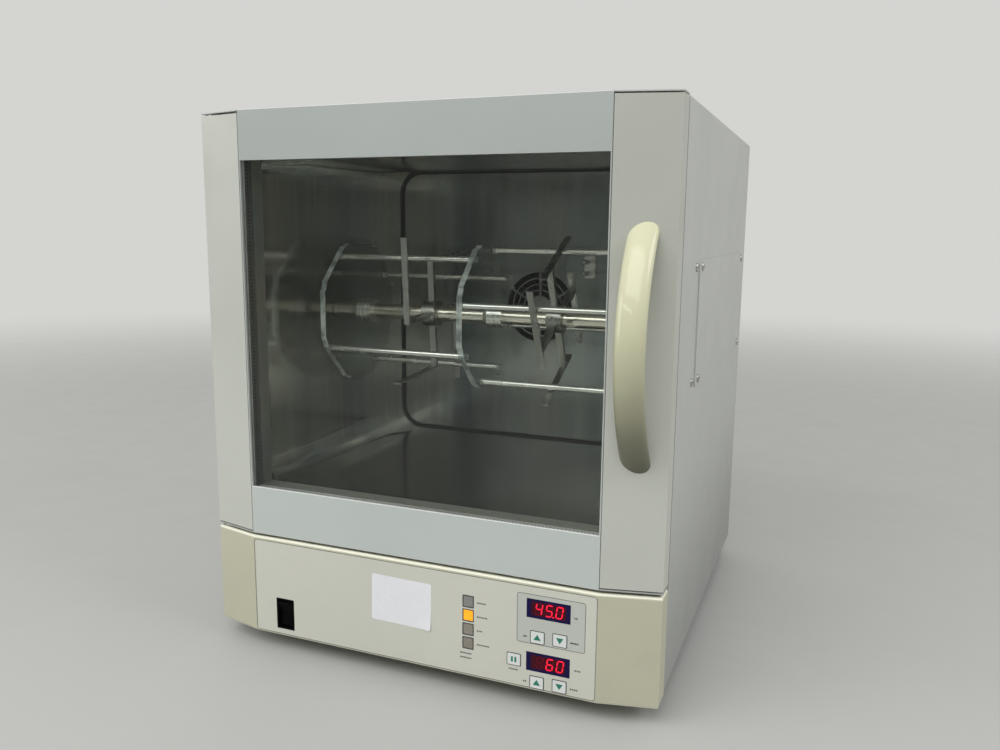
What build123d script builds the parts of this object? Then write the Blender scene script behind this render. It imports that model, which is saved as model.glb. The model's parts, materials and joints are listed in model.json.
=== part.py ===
"""Bench hybridization oven: a heated chamber with a glazed door and a turning carousel.

Frame: +Z up from the table, the door faces -Y, the origin is under the middle of the oven.
Sizes are in millimetres. A depth is a distance behind the flat front face.
"""
import os
from math import atan2, cos, pi, sin, tan
from build123d import *

os.makedirs("parts", exist_ok=True)

# ---- Driving sizes: outside
body_width = 420.0
body_depth = 426.0
bezel_lift = 16.0
bezel_height = 92.6
case_lift = 21.7
door_gap = 2.6
door_height = 371.2
panel_width = 324.7
corner_setback = 10.9
corner_radius = 11.0
hinge_corner_radius = 3.0
sheet = 1.2
handle_rise = 30.8

# ---- Driving sizes: door
door_depth = 29.0
panel_stile = 1.15
window_sill = 43.8
window_head = 41.4
panel_sheet = 2.0
panel_edge = 0.4
column_wall = 2.5
column_gap = 0.5
rim_sheet = 0.9
rim_gap = 1.2
hinge_inset = 11.0
hinge_depth = 17.0
leaf_sheet = 1.2
glass_sheet = 3.0
spacer_depth = 8.0
reveal_drop = 2.0

# ---- Driving sizes: chamber, carousel and fan
chamber_width = 336.0
chamber_sill = 41.4
chamber_head = 32.4
chamber_back_depth = 301.0
chamber_corner = 25.0
liner_sheet = 1.0
shaft_depth = 155.0
shaft_lift = 3.0
shaft_diameter = 15.0
plate_flats = 135.0
plate_thickness = 5.5
plate_middle_x = 3.0
plate_pitch = 143.0
disc_radius = 73.0
rod_diameter = 6.0
rod_circle = 64.0
fan_x = 5.0
grille_radius = 39.0

# ---- Clearances
running = 0.05
seat = 0.3
slip = 0.2
case_gap = 2.5

# ---- Places worked out from them
front_y = (handle_rise - body_depth) / 2
half_width = body_width / 2
half_panel = panel_width / 2
base_top = bezel_lift + bezel_height
door_bottom = base_top + door_gap
door_top = door_bottom + door_height
case_top = door_top
case_front = door_depth + case_gap
inner_half = half_width - sheet
slant = atan2(corner_setback, half_width - half_panel)
hinge_x = -(half_width - hinge_inset)
hinge_y = front_y + hinge_depth
window_width = panel_width - 2 * panel_stile
window_height = door_height - window_sill - window_head
window_middle = door_bottom + window_sill + window_height / 2
chamber_height = case_top - base_top - chamber_sill - chamber_head
chamber_middle = base_top + chamber_sill + chamber_height / 2
shaft_height = chamber_middle + shaft_lift
shaft_y = front_y + shaft_depth
shaft_radius = shaft_diameter / 2
shelf_bottom = base_top - sheet


def front_plane(depth):
    """A plane parallel to the front face: local x is X and local y is Z; behind it is negative."""
    return Plane(origin=(0, front_y + depth, 0), x_dir=(1, 0, 0), z_dir=(0, -1, 0))


def side_plane(x):
    """A plane square to X: local x is Y and local y is Z; an extrusion goes towards +X."""
    return Plane(origin=(x, 0, 0), x_dir=(0, 1, 0), z_dir=(1, 0, 0))


def write(part, name):
    """Label a finished sub-part and write it out."""
    part.label = name
    export_step(part, f"parts/{name}.step")


def round_front_corners(inset=0.0):
    """Round the two outer front corners of the outline in the open sketch."""
    sides = vertices().group_by(Axis.X)
    fillet(sides[0].sort_by(Axis.Y)[0], hinge_corner_radius - inset)
    fillet(sides[-1].sort_by(Axis.Y)[0], corner_radius - inset)


def front_outline(rear, inset=0.0):
    """Plan outline of the door or of the base: a flat middle and two slanted corner columns."""
    side = half_width - inset
    Polygon(
        (-side, front_y + rear),
        (-side, front_y + corner_setback + inset),
        (-half_panel, front_y + inset),
        (half_panel, front_y + inset),
        (side, front_y + corner_setback + inset),
        (side, front_y + rear),
        align=None,
    )


def shell_ring(width, height, middle, wall, corner):
    """A rounded rectangular ring with the given inside size, centred on X = 0."""
    with Locations((0, middle)):
        RectangleRounded(width + 2 * wall, height + 2 * wall, corner + wall)
        RectangleRounded(width, height, corner, mode=Mode.SUBTRACT)


# ======================================================================
# Case: wrap, back, pan, shelf
# ======================================================================
hatch_depths = (106.0, 398.0)
hatch_tall = 105.0
hatch_lift = 10.0
hatch_lap = 16.0
hatch_corner = 3.0
hatch_y = front_y + sum(hatch_depths) / 2
hatch_z = chamber_middle + hatch_lift
hatch_length = hatch_depths[1] - hatch_depths[0]
screw_inset = (12.0, 5.5)
screw_radius = 1.5
screw_head_radius = 3.2
screw_head = 1.4
bend_radius = 2.0

hatch_screws = [
    (hatch_y + sy * (hatch_length / 2 - screw_inset[0]), hatch_z + sz * (hatch_tall / 2 - screw_inset[1]))
    for sy in (-1, 1)
    for sz in (-1, 1)
]
frame_screws = [
    (hatch_y - hatch_length / 2 - screw_inset[0], hatch_z + sz * (hatch_tall / 2 - screw_inset[1]))
    for sz in (-1, 1)
]

with BuildPart() as case_wrap:
    with BuildSketch(front_plane(case_front)):
        with Locations((0, (case_lift + case_top) / 2)):
            Rectangle(body_width, case_top - case_lift)
        with Locations((0, (case_lift + case_top) / 2 - sheet)):
            Rectangle(2 * inner_half, case_top - case_lift, mode=Mode.SUBTRACT)
    extrude(amount=-(body_depth - sheet - case_front))
    long_edges = case_wrap.edges().filter_by(Axis.Y)
    fillet(long_edges.group_by(Axis.Z)[-1], bend_radius)
    # The opening that the side hatch covers
    with BuildSketch(side_plane(inner_half - sheet)):
        with Locations((hatch_y, hatch_z)):
            Rectangle(hatch_length - 2 * hatch_lap, hatch_tall - 2 * hatch_lap)
    extrude(amount=3 * sheet, mode=Mode.SUBTRACT)
    with BuildSketch(side_plane(inner_half - 2 * sheet)):
        with Locations(*hatch_screws, *frame_screws):
            Circle(screw_radius + running)
    extrude(amount=4 * sheet, mode=Mode.SUBTRACT)
write(case_wrap.part, "case_wrap")

with BuildPart() as side_hatch:
    with BuildSketch(side_plane(half_width)):
        with Locations((hatch_y, hatch_z)):
            RectangleRounded(hatch_length, hatch_tall, hatch_corner)
        with Locations(*hatch_screws):
            Circle(screw_radius + running, mode=Mode.SUBTRACT)
    extrude(amount=sheet)
write(side_hatch.part, "side_hatch")

# Back panel with two fields of vent slots and the cut-out of the power inlet
inlet_size = (27.2, 19.6)
inlet_place = (-150.0, 60.0)
vent_slot = (40.0, 4.0)
vent_pitch = 10.0
vent_rows = 6
vent_x = 110.0
vent_drop = 82.0
back_inset = 0.8
back_screw_inset = (8.0, 22.0)
back_screw_rows = (case_lift + back_screw_inset[1], (case_lift + case_top) / 2, case_top - back_screw_inset[1])
back_screw_places = [(sx * (half_width - back_screw_inset[0]), z) for sx in (-1, 1) for z in back_screw_rows]
back_front = body_depth - sheet

with BuildPart() as rear_panel:
    with BuildSketch(front_plane(back_front)):
        with Locations((0, (case_lift + case_top) / 2)):
            Rectangle(body_width - 2 * back_inset, case_top - case_lift - 2 * back_inset)
        with Locations(inlet_place):
            Rectangle(inlet_size[0] + 2 * slip, inlet_size[1] + 2 * slip, mode=Mode.SUBTRACT)
        with Locations((-vent_x, case_top - vent_drop), (vent_x, case_top - vent_drop)):
            with GridLocations(0, vent_pitch, 1, vent_rows):
                SlotOverall(*vent_slot, mode=Mode.SUBTRACT)
        with Locations(*back_screw_places):
            Circle(screw_radius + running, mode=Mode.SUBTRACT)
    extrude(amount=-sheet)
write(rear_panel.part, "rear_panel")

# Every case screw has a tapered head on the outside and a short shank
shank = 3.0
head_taper = 20.0


def screw(place, outwards, reach):
    """A screw at a place on a face, its head towards the outside."""
    seat_plane = Plane(origin=place, z_dir=outwards)
    with BuildSketch(seat_plane) as head:
        Circle(screw_head_radius)
    extrude(head.sketch, amount=screw_head, taper=head_taper)
    with BuildSketch(seat_plane) as core:
        Circle(screw_radius)
    extrude(core.sketch, amount=-reach)


with BuildPart() as case_screws:
    for y, z in hatch_screws:
        screw((half_width + sheet, y, z), (1, 0, 0), shank + sheet)
    for y, z in frame_screws:
        screw((half_width, y, z), (1, 0, 0), shank)
    for x, z in back_screw_places:
        screw((x, front_y + body_depth, z), (0, 1, 0), 2 * sheet)
write(case_screws.part, "case_screws")

# Base pan: floor with turned-up sides, and slots under the electronics
pan_sheet = 1.5
pan_flange = 14.0
pan_half = inner_half - slip
pan_vent_places = [(-60.0, front_y + 220.0), (60.0, front_y + 220.0)]
foot_spread = 165.0
foot_depths = (70.0, 380.0)
foot_places = [(sx * foot_spread, front_y + depth) for sx in (-1, 1) for depth in foot_depths]
foot_screw = 2.5

with BuildPart() as base_pan:
    pan_length = back_front - seat - case_front
    with BuildSketch(Plane.XY.offset(case_lift)):
        with Locations((0, front_y + case_front + pan_length / 2)):
            Rectangle(2 * pan_half, pan_length)
        with Locations(*pan_vent_places):
            with GridLocations(0, vent_pitch, 1, vent_rows):
                SlotOverall(*vent_slot, mode=Mode.SUBTRACT)
        with Locations(*foot_places):
            Circle(foot_screw + running, mode=Mode.SUBTRACT)
    extrude(amount=pan_sheet)
    with BuildSketch(Plane.XY.offset(case_lift)):
        for sx in (-1, 1):
            with Locations((sx * (pan_half - pan_sheet / 2), front_y + case_front + pan_length / 2)):
                Rectangle(pan_sheet, pan_length)
        with Locations((0, front_y + case_front + pan_sheet / 2)):
            Rectangle(2 * pan_half, pan_sheet)
    extrude(amount=pan_flange)
write(base_pan.part, "base_pan")

foot_radius = 17.0
foot_taper = 2.0
foot_plug = 3.0
with BuildPart() as rubber_feet:
    for x, y in foot_places:
        with BuildSketch(Plane(origin=(x, y, 0), z_dir=(0, 0, 1))):
            Circle(foot_radius - foot_taper)
        with BuildSketch(Plane(origin=(x, y, case_lift), z_dir=(0, 0, 1))):
            Circle(foot_radius)
        loft(ruled=True)
        with BuildSketch(Plane(origin=(x, y, case_lift), z_dir=(0, 0, 1))):
            Circle(foot_screw)
        extrude(amount=pan_sheet + foot_plug)
write(rubber_feet.part, "rubber_feet")

# Shelf between the electronics bay and the oven, stiffened by side flanges
with BuildPart() as divider_shelf:
    with BuildSketch(front_plane(case_front)):
        with Locations((0, shelf_bottom + sheet / 2)):
            Rectangle(2 * pan_half, sheet)
        for sx in (-1, 1):
            with Locations((sx * (pan_half - sheet / 2), base_top - pan_flange / 2)):
                Rectangle(sheet, pan_flange)
    extrude(amount=-(back_front - seat - case_front))
write(divider_shelf.part, "divider_shelf")

# ======================================================================
# Base front: bezel, overlay and controls
# ======================================================================
bezel_wall = 2.5
bezel_depth = case_front - seat
recess_depth = 1.2
recess_size = (324.0, 87.5)
recess_middle = 61.65
overlay_sheet = 1.0
overlay_front = recess_depth - overlay_sheet
control_back = bezel_wall + recess_depth
board_depth = 13.0

display_places = [(121.8, 86.7), (122.05, 41.05)]
display_size = (36.8, 16.2)
lamp_places = [(52.0, 82.55 - 12.2 * i) for i in range(4)]
lamp_size = (9.2, 9.7)
button_size = (11.2, 9.8)
buttons = {
    "temp_up_button": (112.9, 62.6),
    "temp_down_button": (131.8, 63.5),
    "speed_up_button": (112.95, 23.6),
    "speed_down_button": (132.1, 24.3),
    "pause_button": (92.95, 40.1),
}
rocker_size = (18.6, 29.1)
rocker_place = (-130.0, 37.75)
control_fit = 0.15
recess_radius = 3.0
bezel_top_radius = 3.0
bezel_foot_radius = 2.5


def control_openings(margin):
    """Cut the outline of everything that comes through the control panel, grown by a margin."""
    with Locations(*display_places):
        Rectangle(display_size[0] + 2 * margin, display_size[1] + 2 * margin, mode=Mode.SUBTRACT)
    with Locations(*lamp_places):
        Rectangle(lamp_size[0] + 2 * margin, lamp_size[1] + 2 * margin, mode=Mode.SUBTRACT)
    with Locations(*buttons.values()):
        Rectangle(button_size[0] + 2 * margin, button_size[1] + 2 * margin, mode=Mode.SUBTRACT)
    with Locations(rocker_place):
        Rectangle(rocker_size[0] + 2 * margin, rocker_size[1] + 2 * margin, mode=Mode.SUBTRACT)


with BuildPart() as front_bezel:
    with BuildSketch(Plane.XY.offset(bezel_lift)):
        front_outline(bezel_depth)
        round_front_corners()
    extrude(amount=bezel_height)
    rims = front_bezel.edges().filter_by(lambda e: e.center().Y < front_y + bezel_depth - seat)
    fillet(rims.group_by(Axis.Z)[-1], bezel_top_radius)
    rims = front_bezel.edges().filter_by(lambda e: e.center().Y < front_y + bezel_depth - seat)
    fillet(rims.group_by(Axis.Z)[0], bezel_foot_radius)
    with BuildSketch(Plane.XY.offset(bezel_lift + bezel_wall)):
        front_outline(bezel_depth + bezel_wall, bezel_wall)
    extrude(amount=bezel_height - 2 * bezel_wall, mode=Mode.SUBTRACT)
    # A thicker floor behind the recess for the overlay
    with BuildSketch(front_plane(recess_depth)):
        with Locations((0, recess_middle)):
            RectangleRounded(*recess_size, recess_radius)
    extrude(amount=-bezel_wall)
    with BuildSketch(front_plane(recess_depth)):
        with Locations((0, recess_middle)):
            RectangleRounded(*recess_size, recess_radius)
    extrude(amount=2 * recess_depth, mode=Mode.SUBTRACT)
    with BuildSketch(front_plane(-recess_depth)) as openings:
        with Locations((0, recess_middle)):
            RectangleRounded(*recess_size, recess_radius)
        control_openings(control_fit)
    with BuildSketch(front_plane(-recess_depth)):
        with Locations((0, recess_middle)):
            RectangleRounded(*recess_size, recess_radius)
        add(openings.sketch_local, mode=Mode.SUBTRACT)
    extrude(amount=-2 * control_back, mode=Mode.SUBTRACT)
write(front_bezel.part, "front_bezel")

with BuildPart() as control_overlay:
    with BuildSketch(front_plane(overlay_front)):
        with Locations((0, recess_middle)):
            RectangleRounded(recess_size[0] - 2 * slip, recess_size[1] - 2 * slip, recess_radius - slip)
        control_openings(control_fit)
    extrude(amount=-overlay_sheet)
write(control_overlay.part, "control_overlay")

# Display modules and lamp lenses come through the panel and stand on the control board
lens_front = 0.5
with BuildPart() as display_modules:
    with BuildSketch(front_plane(lens_front)):
        with Locations(*display_places):
            Rectangle(*display_size)
    extrude(amount=-(board_depth - lens_front))
write(display_modules.part, "display_modules")

with BuildPart() as status_lamps:
    with BuildSketch(front_plane(lens_front)):
        with Locations(*lamp_places):
            Rectangle(*lamp_size)
    extrude(amount=-(board_depth - lens_front))
write(status_lamps.part, "status_lamps")

board_middle = (99.0, 61.0)
board_size = (114.0, 80.0)
board_sheet = 1.6
standoff_radius = 2.5
standoffs = [(72.0, 95.0), (72.0, 26.0), (150.0, 70.0), (150.0, 26.0)]
with BuildPart() as control_board:
    with BuildSketch(front_plane(board_depth)):
        with Locations(board_middle):
            Rectangle(*board_size)
    extrude(amount=-board_sheet)
    with BuildSketch(front_plane(board_depth)):
        with Locations(*standoffs):
            Circle(standoff_radius)
    extrude(amount=board_depth - control_back)
write(control_board.part, "control_board")

# Push buttons: a cap in the opening, a flange behind the panel and a stem to its switch
button_travel = 0.8
button_proud = 0.3
button_flange = 1.5
button_corner = 0.6
flange_sheet = 1.0
stem_radius = 2.0
flange_front = control_back + seat
for name, place in buttons.items():
    with BuildPart() as button:
        with BuildSketch(front_plane(-button_proud)):
            with Locations(place):
                RectangleRounded(button_size[0] - slip, button_size[1] - slip, button_corner)
        extrude(amount=-(button_proud + flange_front + flange_sheet))
        with BuildSketch(front_plane(flange_front)):
            with Locations(place):
                Rectangle(button_size[0] + 2 * button_flange, button_size[1] - slip)
        extrude(amount=-flange_sheet)
        with BuildSketch(front_plane(flange_front)):
            with Locations(place):
                Circle(stem_radius)
        extrude(amount=-(board_depth - button_travel - seat - flange_front))
    write(button.part, name)

# Power switch: a housing through the panel with a rocker that turns on two side pins
housing_depth = 24.0
rocker_pivot_depth = 7.0
rocker_half = 12.6
rocker_width = 14.4
rocker_play = 0.3
rocker_tilt = 8.0
rocker_section = ((-6.5, -14.0), (-3.6, 0.0), (-6.5, 14.0), (5.0, 14.0), (5.0, -14.0))
rocker_pin_radius = 1.5
pocket_depth = rocker_pivot_depth + 8.0
pocket_size = (rocker_width + 2 * rocker_play, 2 * (rocker_half + rocker_play))
pin_reach = 1.2
rocker_y = front_y + rocker_pivot_depth

with BuildPart() as switch_housing:
    with BuildSketch(front_plane(overlay_front)):
        with Locations(rocker_place):
            Rectangle(*rocker_size)
    extrude(amount=-(housing_depth - overlay_front))
    with BuildSketch(front_plane(0)):
        with Locations(rocker_place):
            Rectangle(*pocket_size)
    extrude(amount=-pocket_depth, mode=Mode.SUBTRACT)
    with BuildSketch(side_plane(rocker_place[0] - rocker_size[0])):
        with Locations((rocker_y, rocker_place[1])):
            Circle(rocker_pin_radius + running)
    extrude(amount=2 * rocker_size[0], mode=Mode.SUBTRACT)
write(switch_housing.part, "switch_housing")

# The rocker is a round block about its pins, cut to a shallow V in front and flat behind
with BuildPart() as power_rocker:
    rocker_start = (rocker_place[0] - rocker_width / 2, rocker_y, rocker_place[1])
    pivot_plane = Plane(origin=rocker_start, x_dir=(0, 1, 0), z_dir=(1, 0, 0))
    with BuildSketch(pivot_plane):
        Circle(rocker_half)
        Polygon(*rocker_section, rotation=rocker_tilt, align=None, mode=Mode.INTERSECT)
    extrude(amount=rocker_width)
    with BuildSketch(pivot_plane.offset(-pin_reach)):
        Circle(rocker_pin_radius)
    extrude(amount=rocker_width + 2 * pin_reach)
write(power_rocker.part, "power_rocker")

# Power supply on four posts on the base pan
supply_place = (-90.0, front_y + 250.0)
supply_board = (120.0, 90.0)
supply_post = 6.0
supply_post_radius = 3.0
supply_post_inset = 6.0
block_size = (50.0, 60.0)
block_height = 36.0
block_x = -25.0
can_radius = 10.0
can_height = 26.0
can_pitch = 28.0
can_x = 35.0
with BuildPart() as power_supply:
    pan_top = case_lift + pan_sheet
    with BuildSketch(Plane.XY.offset(pan_top)):
        with Locations(supply_place):
            spread = 2 * supply_post_inset
            with GridLocations(supply_board[0] - spread, supply_board[1] - spread, 2, 2):
                Circle(supply_post_radius)
    extrude(amount=supply_post)
    with BuildSketch(Plane.XY.offset(pan_top + supply_post)):
        with Locations(supply_place):
            Rectangle(*supply_board)
    extrude(amount=board_sheet)
    with BuildSketch(Plane.XY.offset(pan_top + supply_post + board_sheet)):
        with Locations((supply_place[0] + block_x, supply_place[1])):
            Rectangle(*block_size)
    extrude(amount=block_height)
    with BuildSketch(Plane.XY.offset(pan_top + supply_post + board_sheet)):
        with Locations((supply_place[0] + can_x, supply_place[1])):
            with GridLocations(0, can_pitch, 1, 3):
                Circle(can_radius)
    extrude(amount=can_height)
write(power_supply.part, "power_supply")

# Power inlet: a flanged three-pin socket through the back panel
inlet_flange = (48.0, 22.4)
inlet_corner = 4.0
inlet_flange_sheet = 2.5
inlet_screw_pitch = 40.0
inlet_screw_hole = 1.7
inlet_socket = (24.0, 16.6)
inlet_body_depth = 22.0
inlet_socket_depth = 16.5
inlet_pin = (2.0, 4.0, 12.0)
inlet_pins = [(0.0, 3.5), (-7.0, -0.5), (7.0, -0.5)]
back_outside = body_depth
with BuildPart() as power_inlet:
    with BuildSketch(front_plane(back_outside)):
        with Locations(inlet_place):
            RectangleRounded(*inlet_flange, inlet_corner)
            with GridLocations(inlet_screw_pitch, 0, 2, 1):
                Circle(inlet_screw_hole, mode=Mode.SUBTRACT)
    extrude(amount=-inlet_flange_sheet)
    with BuildSketch(front_plane(back_outside)):
        with Locations(inlet_place):
            Rectangle(*inlet_size)
    extrude(amount=inlet_body_depth)
    with BuildSketch(front_plane(back_outside + inlet_flange_sheet)):
        with Locations(inlet_place):
            Rectangle(*inlet_socket)
    extrude(amount=inlet_socket_depth + inlet_flange_sheet, mode=Mode.SUBTRACT)
    with BuildSketch(front_plane(back_outside - inlet_socket_depth)):
        for dx, dz in inlet_pins:
            with Locations((inlet_place[0] + dx, inlet_place[1] + dz)):
                Rectangle(inlet_pin[0], inlet_pin[1])
    extrude(amount=-inlet_pin[2])
write(power_inlet.part, "power_inlet")

# ======================================================================
# Oven: face frame, liner, back wall with its grille, insulation
# ======================================================================
leaf_radius = 6.0
leaf_back = case_front + 30.0
lower_leaf_top = base_top + leaf_sheet
upper_leaf_top = case_top - sheet
upper_leaf_bottom = upper_leaf_top - leaf_sheet
leaf_notch = 2 * leaf_radius + 2 * slip
frame_sheet = 1.2

with BuildPart() as face_frame:
    frame_low = base_top
    frame_high = case_top - sheet - slip
    with BuildSketch(front_plane(case_front)):
        with Locations((0, (frame_low + frame_high) / 2)):
            Rectangle(2 * pan_half, frame_high - frame_low)
        with Locations((0, chamber_middle)):
            RectangleRounded(chamber_width, chamber_height, chamber_corner, mode=Mode.SUBTRACT)
        # Notches where the two hinge leaves pass back into the case
        with Locations((hinge_x, frame_low), (hinge_x, frame_high)):
            Rectangle(leaf_notch, 2 * (leaf_sheet + 2 * slip), mode=Mode.SUBTRACT)
    extrude(amount=-frame_sheet)
write(face_frame.part, "face_frame")

liner_front = case_front + frame_sheet
liner_flange = 12.0
bearing_hole = shaft_radius + 1.5
with BuildPart() as chamber_liner:
    with BuildSketch(front_plane(liner_front)):
        shell_ring(chamber_width, chamber_height, chamber_middle, liner_sheet, chamber_corner)
    extrude(amount=-(chamber_back_depth - liner_front))
    with BuildSketch(front_plane(liner_front)):
        shell_ring(chamber_width, chamber_height, chamber_middle, liner_flange, chamber_corner)
    extrude(amount=-liner_sheet)
    with BuildSketch(side_plane(-chamber_width)):
        with Locations((shaft_y, shaft_height)):
            Circle(bearing_hole)
    extrude(amount=2 * chamber_width, mode=Mode.SUBTRACT)
write(chamber_liner.part, "chamber_liner")

# Back wall: three rings of arc slots and a ring of fine ones, parted by six spokes
grille_slots = [(39.0, 33.0), (31.5, 26.2), (25.0, 19.8), (18.4, 13.0)]
spoke_width = 2.4
spokes = 6
probe_x = 62.0
probe_lifts = (40.0, 52.0)
probe_places = [(probe_x, chamber_middle + lift) for lift in probe_lifts]
probe_radius = 3.0
with BuildPart() as chamber_back:
    with BuildSketch(front_plane(chamber_back_depth)):
        with Locations((0, chamber_middle)):
            back_size = (chamber_width + 2 * liner_flange, chamber_height + 2 * liner_flange)
            RectangleRounded(*back_size, chamber_corner + liner_flange)
        with Locations(*probe_places):
            Circle(probe_radius + running, mode=Mode.SUBTRACT)
    extrude(amount=-frame_sheet)
    with BuildSketch(front_plane(chamber_back_depth)):
        with Locations((fan_x, chamber_middle)):
            for outer, inner in grille_slots:
                Circle(outer)
                Circle(inner, mode=Mode.SUBTRACT)
            with PolarLocations(grille_radius / 2, spokes, start_angle=180 / spokes):
                Rectangle(grille_radius, spoke_width, mode=Mode.SUBTRACT)
    extrude(amount=-frame_sheet, mode=Mode.SUBTRACT)
write(chamber_back.part, "chamber_back")

seal_width = 2.2
seal_sheet = 1.4
with BuildPart() as back_wall_seal:
    with BuildSketch(front_plane(chamber_back_depth)):
        step = seal_width + slip
        size = (chamber_width - 2 * step, chamber_height - 2 * step)
        shell_ring(*size, chamber_middle, seal_width, chamber_corner - step)
    extrude(amount=seal_sheet)
write(back_wall_seal.part, "back_wall_seal")

# Fan: plenum box behind the back wall, ring heater, motor and impeller
plenum_front = chamber_back_depth + frame_sheet
plenum_depth = 42.0
plenum_back = plenum_front + plenum_depth
plenum_size = 170.0
plenum_corner = 8.0
fan_bore = 3.0
with BuildPart() as fan_plenum:
    with BuildSketch(front_plane(plenum_front)):
        with Locations((fan_x, chamber_middle)):
            RectangleRounded(plenum_size, plenum_size, plenum_corner)
    extrude(amount=-plenum_depth)
    with BuildSketch(front_plane(plenum_front)):
        with Locations((fan_x, chamber_middle)):
            hollow = plenum_size - 2 * frame_sheet
            RectangleRounded(hollow, hollow, plenum_corner - frame_sheet)
    extrude(amount=-(plenum_depth - frame_sheet), mode=Mode.SUBTRACT)
    with BuildSketch(front_plane(plenum_back)):
        with Locations((fan_x, chamber_middle)):
            Circle(fan_bore + 1)
    extrude(amount=2 * frame_sheet, mode=Mode.SUBTRACT)
write(fan_plenum.part, "fan_plenum")

heater_ring_radius = 54.0
heater_tube = 3.5
heater_depth = plenum_front + 16.0
fan_axis = Axis((fan_x, front_y, chamber_middle), (0, 1, 0))
with BuildPart() as heater_ring:
    with BuildSketch(side_plane(fan_x)):
        with Locations((front_y + heater_depth, chamber_middle + heater_ring_radius)):
            RegularPolygon(heater_tube, 8)
    revolve(axis=fan_axis)
    with BuildSketch(front_plane(plenum_back - frame_sheet)):
        with Locations((fan_x, chamber_middle)):
            with GridLocations(2 * heater_ring_radius, 0, 2, 1):
                Circle(heater_tube)
    extrude(amount=plenum_back - frame_sheet - heater_depth)
write(heater_ring.part, "heater_ring")

fan_motor_radius = 28.0
fan_motor_length = 40.0
fan_shaft_seat = 22.0
with BuildPart() as fan_motor:
    with BuildSketch(front_plane(plenum_back)):
        with Locations((fan_x, chamber_middle)):
            Circle(fan_motor_radius)
    extrude(amount=-fan_motor_length)
    chamfer(fan_motor.edges().filter_by(GeomType.CIRCLE).group_by(Axis.Y)[-1], 2)
    with BuildSketch(front_plane(plenum_back)):
        with Locations((fan_x, chamber_middle)):
            Circle(fan_bore + running)
    extrude(amount=-(fan_shaft_seat + 1), mode=Mode.SUBTRACT)
write(fan_motor.part, "fan_motor")

impeller_radius = 37.0
impeller_depth = 18.0
impeller_back = plenum_back - 14.0
blades = 10
blade_sheet = 1.6
hub_radius = 9.0
with BuildPart() as fan_impeller:
    with BuildSketch(front_plane(impeller_back)):
        with Locations((fan_x, chamber_middle)):
            Circle(impeller_radius)
    extrude(amount=-blade_sheet)
    with BuildSketch(front_plane(impeller_back)):
        with Locations((fan_x, chamber_middle)):
            Circle(hub_radius)
            with PolarLocations((impeller_radius + hub_radius - 1) / 2, blades):
                Rectangle(impeller_radius - hub_radius + 1, blade_sheet)
    extrude(amount=impeller_depth)
    with BuildSketch(front_plane(impeller_back)):
        with Locations((fan_x, chamber_middle)):
            Circle(fan_bore)
    extrude(amount=-(plenum_back - impeller_back + fan_shaft_seat))
write(fan_impeller.part, "fan_impeller")

probe_reach = 24.0
probe_tail = 10.0
probe_plate = (12.0, 24.0)
probe_plate_corner = 2.0
probe_plate_sheet = 1.5
with BuildPart() as temperature_probes:
    with BuildSketch(front_plane(plenum_front + probe_tail)):
        with Locations(*probe_places):
            Circle(probe_radius)
    extrude(amount=probe_reach + probe_tail + frame_sheet)
    tips = temperature_probes.edges().filter_by(GeomType.CIRCLE).group_by(Axis.Y)[0]
    chamfer(tips, probe_radius / 2)
    with BuildSketch(front_plane(chamber_back_depth)):
        with Locations(((probe_places[0][0], (probe_places[0][1] + probe_places[1][1]) / 2))):
            RectangleRounded(*probe_plate, probe_plate_corner)
    extrude(amount=probe_plate_sheet)
write(temperature_probes.part, "temperature_probes")

# Shaft bearings: a flange on the outside of each liner wall and a boss round the shaft
liner_outside = chamber_width / 2 + liner_sheet
bearing_flange = 3.0
bearing_boss = 8.0
bearing_radii = (22.0, 14.0)
with BuildPart() as shaft_bearings:
    for sx in (-1, 1):
        with BuildSketch(side_plane(sx * liner_outside)):
            with Locations((shaft_y, shaft_height)):
                Circle(bearing_radii[0])
        extrude(amount=sx * bearing_flange)
        with BuildSketch(side_plane(sx * liner_outside)):
            with Locations((shaft_y, shaft_height)):
                Circle(bearing_radii[1])
        extrude(amount=sx * (bearing_flange + bearing_boss))
    with BuildSketch(side_plane(-half_width)):
        with Locations((shaft_y, shaft_height)):
            Circle(shaft_radius + running)
    extrude(amount=body_width, mode=Mode.SUBTRACT)
write(shaft_bearings.part, "shaft_bearings")

# Belt drive on the right: motor behind the chamber, pulleys and a smooth belt
drive_depth = 375.0
drive_y = front_y + drive_depth
pulley_x = liner_outside + bearing_flange + bearing_boss + 2.0
pulley_width = 12.0
pulley_flange = 1.5
pulley_lip = 2.0
shaft_pulley_radius = 22.0
motor_pulley_radius = 11.0
belt_sheet = 1.5
belt_width = pulley_width - 2 * pulley_flange - 1.0
belt_x = pulley_x + (pulley_width - belt_width) / 2
motor_radius = 21.0
motor_length = 48.0
motor_face_x = liner_outside - 1.0
motor_bore = 3.0
motor_shaft_reach = 16.0
bracket_sheet = 2.0
bracket_height = 2 * motor_radius + 24.0
bracket_margin = 4.0
bracket_foot = 24.0
bracket_foot_x = motor_face_x - 10.0

with BuildPart() as drive_motor:
    with BuildSketch(side_plane(motor_face_x)):
        with Locations((drive_y, shaft_height)):
            Circle(motor_radius)
    extrude(amount=-motor_length)
    chamfer(drive_motor.edges().filter_by(GeomType.CIRCLE).group_by(Axis.X)[0], 2)
    with BuildSketch(side_plane(motor_face_x)):
        with Locations((drive_y, shaft_height)):
            Circle(motor_bore + running)
    extrude(amount=-(motor_shaft_reach + 2), mode=Mode.SUBTRACT)
write(drive_motor.part, "drive_motor")

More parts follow.
